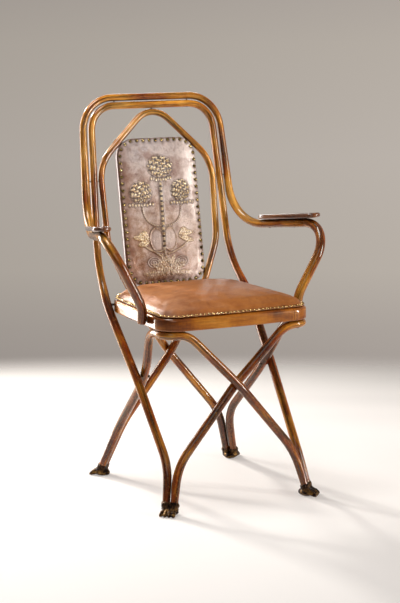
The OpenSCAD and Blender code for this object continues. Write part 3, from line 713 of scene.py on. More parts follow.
# The bent rail: lighter beech with short cross flecks
def rail_wood():
    s = Shader("rail_wood")
    at = s.attribute("grain", "Vector")
    broad = s.noise(at, 30, 4, 0.6, (0.25, 1, 1))
    streak = s.noise(at, 380, 4, 0.6, (0.03, 1, 1))
    ripple = s.noise(at, 260, 3, 0.6, (1, 0.1, 0.1))
    fleck = s.noise(at, 1300, 2, 0.5, (0.12, 1, 1))
    colour = s.ramp(s.blend(broad, 0.9, ripple, 0.1), [
        (0.34, "#4d2208"), (0.44, "#864b10"), (0.52, "#b0711b"), (0.61, "#cc9032"), (0.70, "#e0ad52")])
    colour = s.shade(colour, 0.6, streak, [(0.32, 0.55), (0.5, 0.97), (0.66, 1.1)])
    colour = s.shade(colour, 0.5, fleck, [(0.26, 0.4), (0.38, 1.0)])
    # Painted shade: darker close to other parts
    colour = s.stain(colour, "#2a120a", s.corners(0.006), 0.2, 0.7, 0.4, 0.0)
    rough = s.range(s.noise(at, 120, 4, 0.6), 0.3, 0.7, 0.26, 0.42)
    normal = s.bump(s.blend(streak, 0.8, ripple, 0.2), 0.3, 0.0005)
    return s.finish(colour, Roughness=rough, Normal=normal, Coat_Weight=0.8, Coat_Roughness=0.1,
                    Coat_Tint="#f4d2a4", Specular_IOR_Level=0.35)


ring_lip = ring_w - lip_w
ring_round_w = 8.5
ring_round_h = 8
ring_foot_r = 2.8
ring_mid = 20.0
ring_arris = 0.8
ring_section = [(ring_w, 0.0), (ring_w, ring_h - board_t), (ring_lip, ring_h - board_t),
                (ring_lip, ring_h - ring_arris), (ring_lip - ring_arris, ring_h), (ring_mid, ring_h)]
ring_section += [(ring_round_w * (1 - math.cos(t)), ring_h - ring_round_h + ring_round_h * math.sin(t))
                 for t in np.radians([90, 72, 54, 36, 18, 0])]
ring_section += [(0.0, ring_h * 0.5), (0.0, 4.0)]
ring_section += [(ring_foot_r * (1 - math.cos(t)), ring_foot_r * (1 - math.sin(t)))
                 for t in np.radians([0, 25, 50, 70, 90])]
ring_section += [(ring_mid, 0.0)]
seat_edge = divided(rounded(seat_corners, 4), 9)
dress(band("bent_rail", seat_edge, ring_section, ring_z, rail_wood()), "seat_ring")


# Seat leather
def seat_leather():
    s = Shader("seat_leather")
    where = s.place()
    mottle = s.noise(where, 38, 5, 0.65)
    rub = s.noise(where, 16, 5, 0.7, (1, 1.6, 1))
    blotch = s.noise(where, 24, 5, 0.7, (1.4, 1, 1))
    colour = s.ramp(s.blend(s.noise(where, 7, 4, 0.6), 0.6, mottle, 0.4), [
        (0.30, "#7a3c14"), (0.44, "#9d5820"), (0.56, "#b36c2e"), (0.72, "#c98648")])
    colour = s.stain(colour, "#c8905f", rub, 0.52, 0.75, 0.0, 0.45)
    # Paler at the left, partly rubbed wear and partly a painted sheen; painted shade darkens the right, and
    # the edge is darker
    side = s.part(where, "X")
    worn = s.times(s.range(side, -0.18, 0.0, 1.0, 0.0), s.range(rub, 0.3, 0.7, 0.05, 0.5))
    colour = s.mix(worn, colour, "#d8a07a")
    colour = s.stain(colour, "#7c4416", side, -0.04, 0.14, 0.0, 0.4)
    colour = s.mix(s.times(s.attribute("border"), 0.35), colour, "#6a3818")
    crease = s.cells(where, 420)
    colour = s.shade(colour, 0.22, s.range(crease, 0.0, 0.1), [(0, 0.55), (1, 1)])
    colour = s.stain(colour, "#6d3514", blotch, 0.30, 0.46, 0.5, 0.0)
    grain = s.bump(s.blend(s.range(crease, 0.0, 0.12), 0.7, s.cells(where, 900, "F1"), 0.5), 0.25, 0.0004)
    normal = s.bump(s.noise(where, 60, 3, 0.5), 0.25, 0.0012, Normal=grain)
    return s.finish(colour, Roughness=s.range(mottle, 0.3, 0.7, 0.42, 0.56), Normal=normal,
                    Specular_IOR_Level=0.3, Coat_Weight=0.08, Coat_Roughness=0.3)


# The seat is drawn a little low, as the cloth simulation then swells it by up to its limit
seat_slack = 2.5
swell_limit = 2.8
swell_frames = 20
seat_voxel = 4.5
# The crown's place between the front and the back, and how full it is
crown_share = 0.49
crown_power = 0.85
shoulder_z = cushion_side_h + 3
strip_low = strip_setback + 0.6
seat_wall = strip_setback + strip_w + 1 + seat_slack * 0.4
seat_bottom = seat_h + gap


def seat_form():
    rise = crown_h - shoulder_z - seat_slack
    middle = vec(0, seat_depth * crown_share, 0)
    outline = divided(rounded(seat_corners, 5), 12)
    # Distance inward and height: the flat edge under the strip, then the pulled-in side
    profile = [(strip_low, 0.0), (strip_setback + 0.5, leather_t), (seat_wall, leather_t),
               (seat_wall - 1.6, 5.0), (seat_wall - 1.8, 7.5), (seat_wall - 0.6, 11.0),
               (seat_wall + 1.6, 13.8), (seat_wall + 4.5, 16.0)]
    loops = [inset(outline, d) + vec(0, 0, z) for d, z in profile]
    shoulder = inset(outline, seat_wall + 4)
    for scale in (0.965, 0.92, 0.86, 0.78, 0.68, 0.57, 0.45, 0.32, 0.18):
        top = middle + (shoulder - middle) * scale
        top[:, 2] = shoulder_z + rise * (1 - scale * scale) ** crown_power
        loops.append(top)
    points = np.concatenate(loops + [[middle + vec(0, 0, crown_h - seat_slack)]])
    return placed(points + vec(0, 0, seat_bottom)), dome_faces(len(loops), len(outline))


def modify(obj, kind, **settings):
    step = obj.modifiers.new(kind.lower(), kind)
    for key, value in settings.items():
        setattr(step, key, value)
    return step


def apply_modifiers(obj):
    graph = bpy.context.evaluated_depsgraph_get()
    mesh = bpy.data.meshes.new_from_object(obj.evaluated_get(graph))
    obj.modifiers.clear()
    obj.data = mesh


def remeshed(obj, size):
    modify(obj, "REMESH", mode="VOXEL", voxel_size=size * 0.001, use_smooth_shade=True)
    apply_modifiers(obj)


def read_points(mesh):
    out = np.empty(len(mesh.vertices) * 3, dtype=np.float32)
    mesh.vertices.foreach_get("co", out)
    return out.reshape(-1, 3).astype(float)


def write_points(mesh, points):
    mesh.vertices.foreach_set("co", points.astype(np.float32).ravel())
    mesh.update()


def smooth_step(x, low, high):
    t = np.clip((x - low) / (high - low), 0, 1)
    return t * t * (3 - 2 * t)


def bell(away, width):
    return np.exp(-(away / width) ** 2)


def swell(obj):
    """Blows the leather up as a cloth that is held at its lower edge, and limits how far it moves."""
    start = read_points(obj.data)
    edge_z = (seat_bottom + leather_t + 1.0) * 0.001
    held = obj.vertex_groups.new(name="held")
    held.add([i for i, p in enumerate(start) if p[2] < edge_z], 1.0, "REPLACE")
    cloth = modify(obj, "CLOTH")
    settings = dict(quality=6, mass=0.4, use_pressure=True, uniform_pressure_force=2,
                    vertex_group_mass="held", tension_stiffness=18, compression_stiffness=12,
                    bending_stiffness=1.5)
    for key, value in settings.items():
        setattr(cloth.settings, key, value)
    cloth.settings.effector_weights.gravity = 0
    cloth.point_cache.frame_start = 1
    cloth.point_cache.frame_end = swell_frames
    for number in range(1, swell_frames + 1):
        bpy.context.scene.frame_set(number)
    shown = obj.evaluated_get(bpy.context.evaluated_depsgraph_get())
    move = read_points(shown.to_mesh()) - start
    shown.to_mesh_clear()
    obj.modifiers.clear()
    size = np.linalg.norm(move, axis=1)[:, None]
    move *= np.minimum(1.0, swell_limit * 0.001 / np.maximum(size, 1e-9))
    write_points(obj.data, start + move)
    bpy.context.scene.frame_set(1)


cushion = mesh_object("seat_upholstery", *seat_form(), seat_leather())
remeshed(cushion, seat_voxel)
swell(cushion)
modify(cushion, "SMOOTH", factor=0.5, iterations=6)
modify(cushion, "SUBSURF", levels=1, render_levels=1)
apply_modifiers(cushion)

# Drag folds that fan out of the seat's corners: corner, heading, spread, length, depth and number
seat_folds = [
    (-178, 10, 44, 44, 200, 0.45, 9), (178, 10, 136, 44, 180, 0.35, 8),
    (-150, 330, -50, 40, 150, 0.4, 7), (150, 330, 230, 40, 150, 0.4, 7),
]
# The folds begin between these distances, and fade out at the seat's side
fold_from = (30, 80)
fold_twist = 0.03
fold_low = 9
fold_fade = 8
border_low = 1.5
border_h = 9
points = read_points(cushion.data)
height = points[:, 2] * 1000 - seat_h - gap
fold = np.zeros(len(points))
for x, y, heading, spread, reach, depth, number in seat_folds:
    dx = points[:, 0] * 1000 - x
    dy = points[:, 1] * 1000 + y_mid - y
    away = np.hypot(dx, dy)
    side = (np.degrees(np.arctan2(dy, dx)) - heading + 180) % 360 - 180
    fan = bell(side, spread) * smooth_step(away, *fold_from) * (1 - smooth_step(away, reach * 0.5, reach))
    fold += depth * fan * np.cos(math.pi * side / spread * number * 0.5 + fold_twist * away)
points[:, 2] += fold * np.clip((height - fold_low) / fold_fade, 0, 1) * 0.001
points[:, 2] = np.maximum(points[:, 2], seat_bottom * 0.001)
write_points(cushion.data, points)
add_layer(cushion.data, "border", np.clip(1 - (height - border_low) / border_h, 0, 1))
shade_smooth(cushion.data)
dress(cushion, "seat_cushion")


# Edging strip of leather, drawn down a little at each nail
def strip_leather():
    s = Shader("strip_leather")
    where = s.place()
    colour = s.ramp(s.noise(where, 45, 4, 0.6), [(0.3, "#8a5029"), (0.5, "#b87546"), (0.7, "#d19a68")])
    colour = s.shade(colour, 0.3, s.noise(s.attribute("grain", "Vector"), 500, 2), [(0.35, 0.5), (0.6, 1)])
    normal = s.bump(s.range(s.cells(where, 800), 0, 0.15), 0.3, 0.0003)
    rough = s.range(s.noise(where, 200), 0.3, 0.7, 0.42, 0.6)
    return s.finish(colour, Roughness=rough, Normal=normal)


strip_z = seat_h + 2 * gap + leather_t
strip_high = strip_setback + strip_w
strip_mid = strip_low + (strip_w - 0.6) / 2
strip_edge_t = 0.55
strip_arris = 0.6
strip_dip = 0.22
fine_edge = divided(rounded(seat_corners, 3), 2.6)
run = outline_run(fine_edge)
strip_run = outline_run(inset(fine_edge, strip_mid))[-1]
phase = 2 * math.pi * round(strip_run / nail_pitch) * run[:-1] / run[-1]
strip_section = [(strip_low, 0.0), (strip_low, strip_edge_t), (strip_low + strip_arris, strip_t),
                 (strip_mid, strip_t), (strip_high - strip_arris, strip_t), (strip_high, strip_edge_t),
                 (strip_high, 0.0)]
ripple = strip_dip * (1 - np.cos(phase)) - 0.1
strip = band("seat_edging", fine_edge, strip_section, strip_z, strip_leather(), ripple)
dress(strip, "seat_strip")


# Brass nails with lively hammered domes
def nail_brass(name, low, middle, high):
    s = Shader(name)
    where = s.place()
    colour = s.ramp(s.noise(where, 60, 4, 0.6), [(0.3, low), (0.5, middle), (0.7, high)])
    # Painted shade: darker where the heads meet the leather and each other
    colour = s.stain(colour, "#2b1c10", s.corners(0.004), 0.3, 0.8, 0.9, 0.0)
    rough = s.range(s.noise(where, 900, 3), 0.3, 0.7, 0.12, 0.3)
    normal = s.bump(s.noise(where, 700, 2), 0.35, 0.0005)
    return s.finish(colour, Metallic=1.0, Roughness=rough, Normal=normal)


dome_sides = 16
dome_rows = 6
# A dome's height in shares of its width, its roundness, how far it may lean and how small it may be
dome_rise = 0.38
dome_power = 0.85
dome_lean = 0.06
dome_least_w = 0.95
dome_least_h = 0.88


def domes(name, spots, up, width, seed, material):
    """Nail heads that each lean, widen and rise a little differently."""
    rng = np.random.default_rng(seed)
    turn = round_turn(dome_sides)
    verts = []
    faces = []
    for number, spot in enumerate(spots):
        tilt = unit(up + rng.normal(0, dome_lean, 3))
        e1 = unit(np.cross(tilt, vec(0, 0, 1) if abs(tilt[2]) < 0.9 else vec(1, 0, 0)))
        e2 = np.cross(tilt, e1)
        r = width / 2 * rng.uniform(dome_least_w, 1.0)
        h = width * dome_rise * rng.uniform(dome_least_h, 1.0)
        for row in range(dome_rows):
            t = row / dome_rows * math.pi / 2
            flat = r * math.cos(t) ** dome_power
            around = np.cos(turn)[:, None] * e1 + np.sin(turn)[:, None] * e2
            verts.append(spot + tilt * (h * math.sin(t)) + flat * around)
        verts.append(np.array([spot + tilt * h]))
        faces += dome_faces(dome_rows, dome_sides, number * (dome_rows * dome_sides + 1))
    return mesh_object(name, np.concatenate(verts), faces, material)


brass = nail_brass("nail_brass", "#8d6a35", "#d9b878", "#f3e2b8")
nail_z = strip_z + strip_t + gap * 0.4
spots = placed(equal_steps(inset(fine_edge, strip_mid), nail_pitch) + vec(0, 0, nail_z))
dress(domes("seat_nail_heads", spots, vec(0, 0, 1), nail_d, 11, brass), "seat_nails")


# Back panel: flat coordinates with x across, y up the panel and z out of its face
panel_low = seat_h + panel_lift
panel_h = (back_h - panel_top_drop - panel_low) / math.cos(back_rake)
panel_back_z = -loop_d / 2 + 0.2
panel_board_z = panel_back_z + panel_cover_t + gap
panel_front_z = panel_board_z + panel_board_t + gap
panel_corners = [
    [panel_w / 2, 0, panel_r], [panel_w / 2, panel_h, panel_r],
    [-panel_w / 2, panel_h, panel_r], [-panel_w / 2, 0, panel_r],
]
panel_edge = divided(rounded(panel_corners, 5), 5)
back_up = vec(0, math.sin(back_rake), math.cos(back_rake))
back_out = vec(0, -math.cos(back_rake), math.sin(back_rake))


def lean(points):
    p = np.asarray(points, dtype=float)
    base = on_back(0, panel_low)
    y = base[1] + p[..., 1] * back_up[1] + p[..., 2] * back_out[1]
    z = base[2] + p[..., 1] * back_up[2] + p[..., 2] * back_out[2]
    return placed(np.stack([p[..., 0] + base[0], y, z], axis=-1))


def ridge_line(x, y, curve, width):
    """A ridge along a smooth curve: its height, how far along it a point is and how far away."""
    best = np.full(x.shape, 1e9)
    along = np.zeros(x.shape)
    run = lengths_along(curve)
    for i in range(len(curve) - 1):
        a = curve[i]
        d = curve[i + 1] - a
        t = np.clip(((x - a[0]) * d[0] + (y - a[1]) * d[1]) / (d @ d), 0, 1)
        away = np.hypot(x - a[0] - t * d[0], y - a[1] - t * d[1])
        near = away < best
        best = np.where(near, away, best)
        along = np.where(near, run[i] + t * (run[i + 1] - run[i]), along)
    return bell(best, width), along, best


def arc_curve(*corners, count=14):
    a, b, c = np.array(corners, float)
    t = np.linspace(0, 1, count)[:, None]
    return (1 - t) ** 2 * a + 2 * t * (1 - t) * b + t * t * c


def blossom(x, y, cx, cy, rx, ry, turn):
    """A full flower head: rings of staggered cupped petals that open upward from its foot."""
    dx, dy = (x - cx) / rx, (y - cy) / ry
    r = np.hypot(dx, dy)
    mask = smooth_step(1.0 + 0.06 * np.cos(np.arctan2(dx, dy) * 13 + turn) - r, 0.0, 0.06)
    # The rings spread from a point below the head's middle, and waver
    fan = np.hypot(dx, dy + 0.62) / 1.66
    swing = np.arctan2(dx, dy + 0.62)
    waver = 0.28 * np.sin(swing * 5 + turn * 3) + 0.2 * np.sin(x * 0.9 + turn) * np.sin(y * 0.8)
    rings = fan * 6.2 + turn * 0.3 + waver
    number = np.floor(rings)
    part = rings - number
    lobe = np.abs(np.cos(swing * (2.2 + 1.0 * number) + (number % 2) * math.pi / 2 + turn))
    petal = smooth_step(part, 0.0, 0.55) * (1 - smooth_step(part, 0.78, 1.0)) * smooth_step(lobe, 0.15, 0.85)
    dome = np.sqrt(np.clip(1 - (r / 1.06) ** 2, 0, 1))
    return petal * mask, dome * mask, mask


def turned_by(x, y, angle):
    c, s = math.cos(angle), math.sin(angle)
    return x * c + y * s, -x * s + y * c


def leaf(x, y, cx, cy, angle, length, width, lobes):
    """A pointed leaf with a midrib and scalloped edges."""
    u, v = turned_by(x - cx, y - cy, math.radians(angle))
    u = u / length
    v = v / width
    shape = np.clip(np.sin(np.pi * np.clip(u, 0, 1)), 0, 1) ** 0.8
    edge = shape * (0.86 + 0.14 * np.abs(np.sin(np.pi * u * lobes)))
    inside = smooth_step(edge - np.abs(v), 0.0, 0.12) * (u > 0) * (u < 1)
    veins = 0.72 + 0.28 * np.abs(np.sin(np.pi * (u * lobes + np.abs(v) * 0.9)))
    rib = 1 - 0.5 * bell(v * width, 0.9)
    return inside * veins * rib * (1 - 0.35 * np.abs(v)), inside


# The ornament's motifs, in millimetres from the middle of the panel's foot
# Flowers: middle, half width, half height and turn
flowers = [(3, 282, 33, 26, 0.3), (-53, 222, 29, 26, 1.1), (52, 223, 26, 26, 2.0)]
# Beaded collars under the flowers: middle, half width and sag
collars = [(3, 249, 25, 4), (-54, 190, 30, 2), (54, 192, 29, 1)]
# Stem, curled branches and the lines of the foot: curve, width, height, gilding and length of a twist
plain_pitch = 40
stems = [
    (arc_curve((1, 240), (-1, 160), (-4, 82), count=20), 4.0, 3.0, 1.0, 12.0),
    (arc_curve((-4, 82), (-3, 62), (8, 46)), 2.6, 1.6, 0.7, 6.0),
    (arc_curve((-52, 187), (-50, 138), (-4, 139)), 1.9, 1.5, 0.45, 5.2),
    (arc_curve((50, 189), (50, 139), (3, 138)), 1.9, 1.3, 0.3, 5.2),
    (arc_curve((-60, 96), (-24, 78), (8, 47)), 2.2, 1.9, 0.5, plain_pitch),
    (arc_curve((-10, 79), (-36, 72), (-57, 96)), 1.8, 1.4, 0.4, plain_pitch),
    (arc_curve((6, 72), (34, 76), (72, 106)), 2.0, 1.5, 0.35, plain_pitch),
]
# Ovals beside the stem: middle, half width, half height and tilt
ovals = [(-20, 106, 19, 29, 0.10), (14, 107, 17, 28, -0.06)]
# Leaves: root, heading, length, half width and lobes
sprays = [(-38, 108, 150, 34, 9, 5), (-42, 110, 172, 42, 8, 6), (-40, 104, 196, 34, 8, 5),
          (-44, 114, 130, 20, 7, 3), (36, 116, 28, 30, 8, 5), (38, 118, 4, 42, 8, 6),
          (36, 112, -18, 44, 8, 6), (42, 118, 50, 20, 7, 3)]
tuft = [(6, 30, 158, 50, 10, 7), (6, 30, 24, 50, 10, 7), (6, 30, 90, 34, 8, 5), (2, 28, 130, 40, 9, 6),
        (10, 28, 52, 40, 9, 6), (4, 24, 178, 70, 7, 10), (6, 24, 2, 62, 7, 9), (0, 40, 112, 36, 6, 5),
        (8, 40, 66, 34, 6, 5)]
# Scrolls at the foot: side and middle
scrolls = [(-1, -34, 52), (1, 42, 52)]
scroll_r = 19
scroll_pitch = 6.0
# How high the motifs stand
flower_rise = 3.0
petal_rise = 2.6
bead_rise = 1.7
oval_rise = 1.3
oval_rim_rise = 1.1
mound_rise = 0.8
mound_rough = 1.2
curl_rise = 1.6


def panel_relief(x, y):
    """Height in millimetres of the tooled flower spray, with its gilt, dark and pale parts."""
    height = np.zeros(x.shape)
    marks = {key: np.zeros(x.shape) for key in ("gilt", "dark", "pale")}

    def mark(key, amount):
        marks[key] = np.maximum(marks[key], amount)

    for cx, cy, rx, ry, turn in flowers:
        petals, dome, mask = blossom(x, y, cx, cy, rx, ry, turn)
        height += flower_rise * dome + petal_rise * petals
        mark("gilt", mask * (0.25 + 0.75 * smooth_step(petals, 0.3, 0.65)))
        mark("dark", mask * (1 - smooth_step(petals, 0.06, 0.34)) * 0.95)
        away = np.hypot((x - cx) / rx, (y - cy) / ry)
        # Painted shadow: a dark outline round each flower, heaviest under it
        mark("dark", bell(away - 1.07, 0.05) * (0.35 + 0.6 * smooth_step(cy - y, -4, ry)))
    for cx, cy, half, sag in collars:
        for k in range(9):
            across = (k - 4) / 4
            dx = x - (cx + half * across)
            dy = y - (cy + sag * across * across + 1.5 * (k % 2))
            bead = np.exp(-((dx / 2.7) ** 2 + (dy / 3.3) ** 2))
            height += bead_rise * bead
            mark("gilt", smooth_step(bead, 0.25, 0.7))
            mark("dark", bell(np.hypot(dx / 3.4, dy / 4.2) - 1.15, 0.3) * 0.8)
    for curve, width, tall, shine, pitch in stems:
        ridge, along, away = ridge_line(x, y, curve, width)
        wave = 0.5 - 0.5 * np.cos(along * 2 * math.pi / pitch)
        height += tall * ridge * (1 - 0.45 * wave)
        mark("gilt", smooth_step(ridge, 0.4, 0.8) * shine)
        mark("dark", bell(away - width * 1.5, width * 0.45) * 0.5)
        if pitch < plain_pitch:
            mark("dark", smooth_step(ridge, 0.2, 0.5) * smooth_step(wave, 0.45, 0.7) * (0.5 + 0.5 * shine))
    for cx, cy, rx, ry, tilt in ovals:
        u, v = turned_by(x - cx, y - cy, tilt)
        r = np.hypot(u / rx, v / ry)
        height += oval_rise * np.sqrt(np.clip(1 - r * r, 0, 1)) + oval_rim_rise * bell(r - 1, 0.08)
        mark("pale", smooth_step(1 - r, 0.05, 0.4) * 0.8)
        beads = 0.5 + 0.5 * np.cos(np.arctan2(v, u) * 18)
        mark("dark", bell(r - 1.08, 0.06) * (0.35 + 0.5 * beads))
        mark("gilt", bell(r - 0.98, 0.06) * 0.5 * beads)
    mound = smooth_step(1 - np.hypot((x - 2) / 72, (y - 20 - 3 * np.sin(x * 0.12)) / 17), 0.0, 0.35)
    rough = 0.5 + 0.5 * np.sin(x * 0.83 + 2.1 * np.sin(y * 0.41)) * np.sin(y * 1.07 + 1.7 * np.sin(x * 0.37))
    height += mound * (mound_rise + mound_rough * rough)
    mark("gilt", mound * smooth_step(rough, 0.5, 0.85) * 0.75)
    mark("dark", mound * (1 - smooth_step(rough, 0.15, 0.5)) * 0.8)
    for group, tall, shine in [(sprays, 2.4, 1.0), (tuft, 2.0, 0.6)]:
        for entry in group:
            form, inside = leaf(x, y, *entry)
            height = np.maximum(height, height * (1 - inside) + tall * form)
            marks["gilt"] = np.maximum(marks["gilt"] * (1 - 0.5 * inside), form * shine)
            mark("dark", inside * (1 - smooth_step(form, 0.3, 0.7)) * 0.85)
    for side, cx, cy in scrolls:
        dy = (y - cy) * 1.3
        away = np.hypot(x - cx, dy)
        turns = (away / scroll_pitch - np.arctan2(dy, (x - cx) * side) / (2 * math.pi)) % 1.0
        inside = smooth_step(scroll_r - away, 0, 3)
        curl = bell(turns - 0.5, 0.22) * inside
        height += curl_rise * curl
        # Painted highlight: the curls' ridges are pale
        mark("pale", curl * 0.9)
        mark("dark", inside * (1 - curl) * 0.35)
    return height, marks


# Tooled panel leather with worn silvering, browner towards the foot
def panel_leather():
    s = Shader("panel_leather")
    where = s.place()
    spot = s.attribute("spot", "Vector")
    right = s.part(spot, "X")
    dark = s.attribute("dark")
    cloud = s.noise(where, 14, 5, 0.65)
    mottle = s.noise(where, 70, 5, 0.7)
    fine = s.noise(where, 380, 3, 0.6)
    colour = s.ramp(s.plus(s.part(spot, "Y"), s.range(cloud, 0.3, 0.7, -0.2, 0.2)), [
        (0.0, "#6b3c18"), (0.13, "#8f5b33"), (0.24, "#9d7453"), (0.42, "#a88771"), (0.70, "#a79288"),
        (1.0, "#a89a96")])
    lit = s.times(s.range(right, 0.05, 0.45, 0.0, 0.7), s.range(cloud, 0.35, 0.65, 0.4, 1.0))
    colour = s.mix(lit, colour, "#dcc6b9")
    colour = s.stain(colour, "#d9c5bc", mottle, 0.44, 0.66, 0.0, 0.55)
    colour = s.stain(colour, "#6b4636", mottle, 0.31, 0.47, 0.6, 0.0)
    colour = s.stain(colour, "#744b38", s.noise(where, 24, 4, 0.6), 0.34, 0.52, 0.75, 0.0)
    left = s.times(s.range(right, -0.5, -0.3, 0.8, 0.0), s.range(cloud, 0.3, 0.6, 1.0, 0.5))
    colour = s.mix(left, colour, "#94654f")
    # Pale ovals and scroll curls, the curls' paleness a painted highlight; then the dark marks, among them
    # painted shadow under the flowers and painted shade round the nails
    colour = s.mix(s.times(s.attribute("pale"), 0.55), colour, "#e3d3cb")
    colour = s.mix(s.times(dark, s.range(fine, 0.3, 0.6, 1.0, 0.7)), colour, "#20130c")
    # The gilding is worn through in spots, and its palest flecks are a painted glint
    worn = s.times(s.attribute("gilt"), s.range(s.noise(where, 230, 3, 0.6), 0.36, 0.5, 0.2, 1.0), True)
    worn = s.times(worn, s.math("SUBTRACT", 1.0, dark), True)
    colour = s.mix(worn, colour, s.ramp(fine, [(0.36, "#8a5f28"), (0.46, "#d8b26c"), (0.56, "#fff1d2")]))
    colour = s.mix(s.times(s.attribute("rim"), 0.85), colour, "#563420")
    crease = s.bump(s.range(s.cells(where, 620), 0, 0.14), 0.22, 0.0003)
    normal = s.bump(s.noise(where, 160, 4, 0.65), 0.5, 0.0012, Normal=crease)
    return s.finish(colour, Metallic=s.range(worn, 0.0, 1.0, 0.15, 0.35), Normal=normal,
                    Roughness=s.range(mottle, 0.3, 0.7, 0.26, 0.44), Coat_Weight=0.35, Coat_Roughness=0.2)


def half_width(y):
    inside = np.clip(panel_r - np.minimum(y, panel_h - y), 0, panel_r)
    return panel_w / 2 - panel_r + np.sqrt(np.maximum(panel_r ** 2 - inside ** 2, 0))


# The front is a grid that follows the panel's outline
grid_step = 1.1
turned = panel_r * (1 - np.cos(np.linspace(0, math.pi / 2, 30)))
straight = np.arange(panel_r + grid_step, panel_h - panel_r - 0.5, grid_step)
rows_y = np.concatenate([turned, straight, (panel_h - turned)[::-1]])
columns = np.linspace(-1, 1, 187)
rows, cols = len(rows_y), len(columns)
grid_y = np.repeat(rows_y[:, None], cols, axis=1)
grid_x = half_width(grid_y) * columns[None, :]
crown_inset = panel_nail_in + panel_nail_d / 2 + 0.8
crown_rise = panel_crown - 2.4
relief_share = 0.85
edge_x = np.abs(grid_x) / (panel_w / 2 - crown_inset)
edge_y = np.abs(grid_y - panel_h / 2) / (panel_h / 2 - crown_inset)
reach = np.minimum((edge_x ** 6 + edge_y ** 6) ** (1 / 6), 1.0)
inner = smooth_step(1 - reach, 0.0, 0.10)
relief, marks = panel_relief(grid_x, grid_y)
# Slow waves of the stuffing under a crowned top
waves = 0.5 * np.sin(grid_x * 0.045 + 0.02 * grid_y + 1.0) * np.sin(grid_y * 0.031 + 0.6) \
    + 0.3 * np.sin(grid_x * 0.09 - grid_y * 0.05 + 2.0) * np.sin(grid_y * 0.07 + grid_x * 0.03)
surface = panel_pad_t + waves * inner + crown_rise * (1 - reach ** 2) ** 0.7 + relief * inner * relief_share
to_edge = np.minimum(half_width(grid_y) - np.abs(grid_x), np.minimum(grid_y, panel_h - grid_y))
# Each nail draws the leather down, and painted shade darkens the leather round it
nail_dip = 1.1
nail_dip_r = 6.5
nail_shade_r = 6.0
nail_spots = equal_steps(inset(panel_edge, panel_nail_in), panel_nail_pitch)
for spot in nail_spots:
    away = np.hypot(grid_x - spot[0], grid_y - spot[1])
    surface -= nail_dip * bell(away, nail_dip_r)
    marks["dark"] = np.maximum(marks["dark"], 0.75 * np.exp(-(away / nail_shade_r) ** 4))
# The edge is rounded over this width and depth, down to the rim
roll_w = 4.0
roll_h = 2.2
rim_z = 1.2
rolled = np.clip(to_edge / roll_w, 0, 1)
surface = np.maximum(surface - roll_h * (1 - np.sqrt(1 - (1 - rolled) ** 2)), rim_z)
front = np.stack([grid_x, grid_y, panel_front_z + surface], axis=-1)
ids = np.arange(rows * cols).reshape(rows, cols)
faces = [(a, a + 1, a + cols + 1, a + cols) for a in ids[:-1, :-1].ravel().tolist()]
# The sides wrap round the board's edge: distance outward and height over the rim
rim = np.concatenate([ids[0], ids[1:, -1], ids[-1, -2::-1], ids[-2:0:-1, 0]])
rim_flat = front.reshape(-1, 3)[rim]
rim_out = outward(rim_flat * vec(1, 1, 0))
sides = [(0.9, -1.0), (1.25, -3.2), (1.3, -8.0), (1.25, -panel_board_t - 1.0), (0.7, -panel_board_t - 1.5),
         (0.15, -panel_board_t - 1.3), (0.15, -1.35)]
wraps = [rim_flat + rim_out * d + vec(0, 0, z) - vec(0, 0, 1) * (rim_flat[:, 2:3] - panel_front_z - rim_z)
         for d, z in sides]
count = len(rim)
loops = [rim.tolist()] + (rows * cols + np.arange(len(sides) * count)).reshape(-1, count).tolist()
for low, high in zip(loops, loops[1:]):
    faces += [(low[i], high[i], high[(i + 1) % count], low[(i + 1) % count]) for i in range(count)]
faces.append(tuple(loops[-1]))
blank = np.zeros(count * len(sides))
flat_size = vec(panel_w, panel_h, 1)
spot = np.concatenate([front.reshape(-1, 3)] + [rim_flat] * len(sides)) * vec(1, 1, 0) / flat_size
panel = mesh_object(
    "panel_upholstery", np.concatenate([lean(front).reshape(-1, 3)] + [lean(loop) for loop in wraps]), faces,
    panel_leather(), spot=spot, gilt=np.concatenate([(marks["gilt"] * inner).ravel(), blank]),
    dark=np.concatenate([marks["dark"].ravel(), blank]), pale=np.concatenate([marks["pale"].ravel(), blank]),
    rim=np.concatenate([np.clip(1 - to_edge / 9, 0, 1).ravel() * 0.8, blank + 1.0]))
dress(panel, "back_panel_leather")
old_brass = nail_brass("nail_brass_old", "#33281a", "#7c683c", "#d9c690")
spots = lean(nail_spots + vec(0, 0, panel_front_z + panel_pad_t - 0.9))
heads = domes("panel_nail_heads", spots, back_out, panel_nail_d, 23, old_brass)
dress(heads, "back_panel_nails")


# Arm pads: long polished ovals with rounded rims
def pad_wood():
    s = Shader("pad_wood")
    at = s.attribute("grain", "Vector")
    broad = s.noise(at, 70, 4, 0.6, (1, 0.12, 1))
    streak = s.noise(at, 480, 4, 0.6, (1, 0.05, 1))
    fleck = s.noise(at, 1600, 2, 0.5, (1, 0.12, 1))
    colour = s.ramp(s.blend(broad, 0.6, streak, 0.4), [
        (0.32, "#2a1008"), (0.46, "#57290d"), (0.58, "#80481a"), (0.72, "#a3682e")])
    colour = s.shade(colour, 0.5, fleck, [(0.26, 0.4), (0.38, 1)])
    return s.finish(colour, Roughness=s.range(broad, 0.3, 0.7, 0.22, 0.38),
                    Normal=s.bump(streak, 0.3, 0.0004), Coat_Weight=1.0, Coat_Roughness=0.06)


arm_dir = unit(arm_front - arm_back)
arm_flat = math.hypot(arm_dir[0], arm_dir[1])
arm_up = vec(-arm_dir[0] * arm_dir[2] / arm_flat, -arm_dir[1] * arm_dir[2] / arm_flat, arm_flat)
arm_side = np.cross(arm_dir, arm_up)
pad_middle = arm_front - arm_dir * (pad_setback + pad_l / 2)
pad_air = 0.5
pad_lift = arm_d / 2 + pad_air
pad_rim_r = pad_t / 2
pad_straight = (pad_l - pad_w) / 2
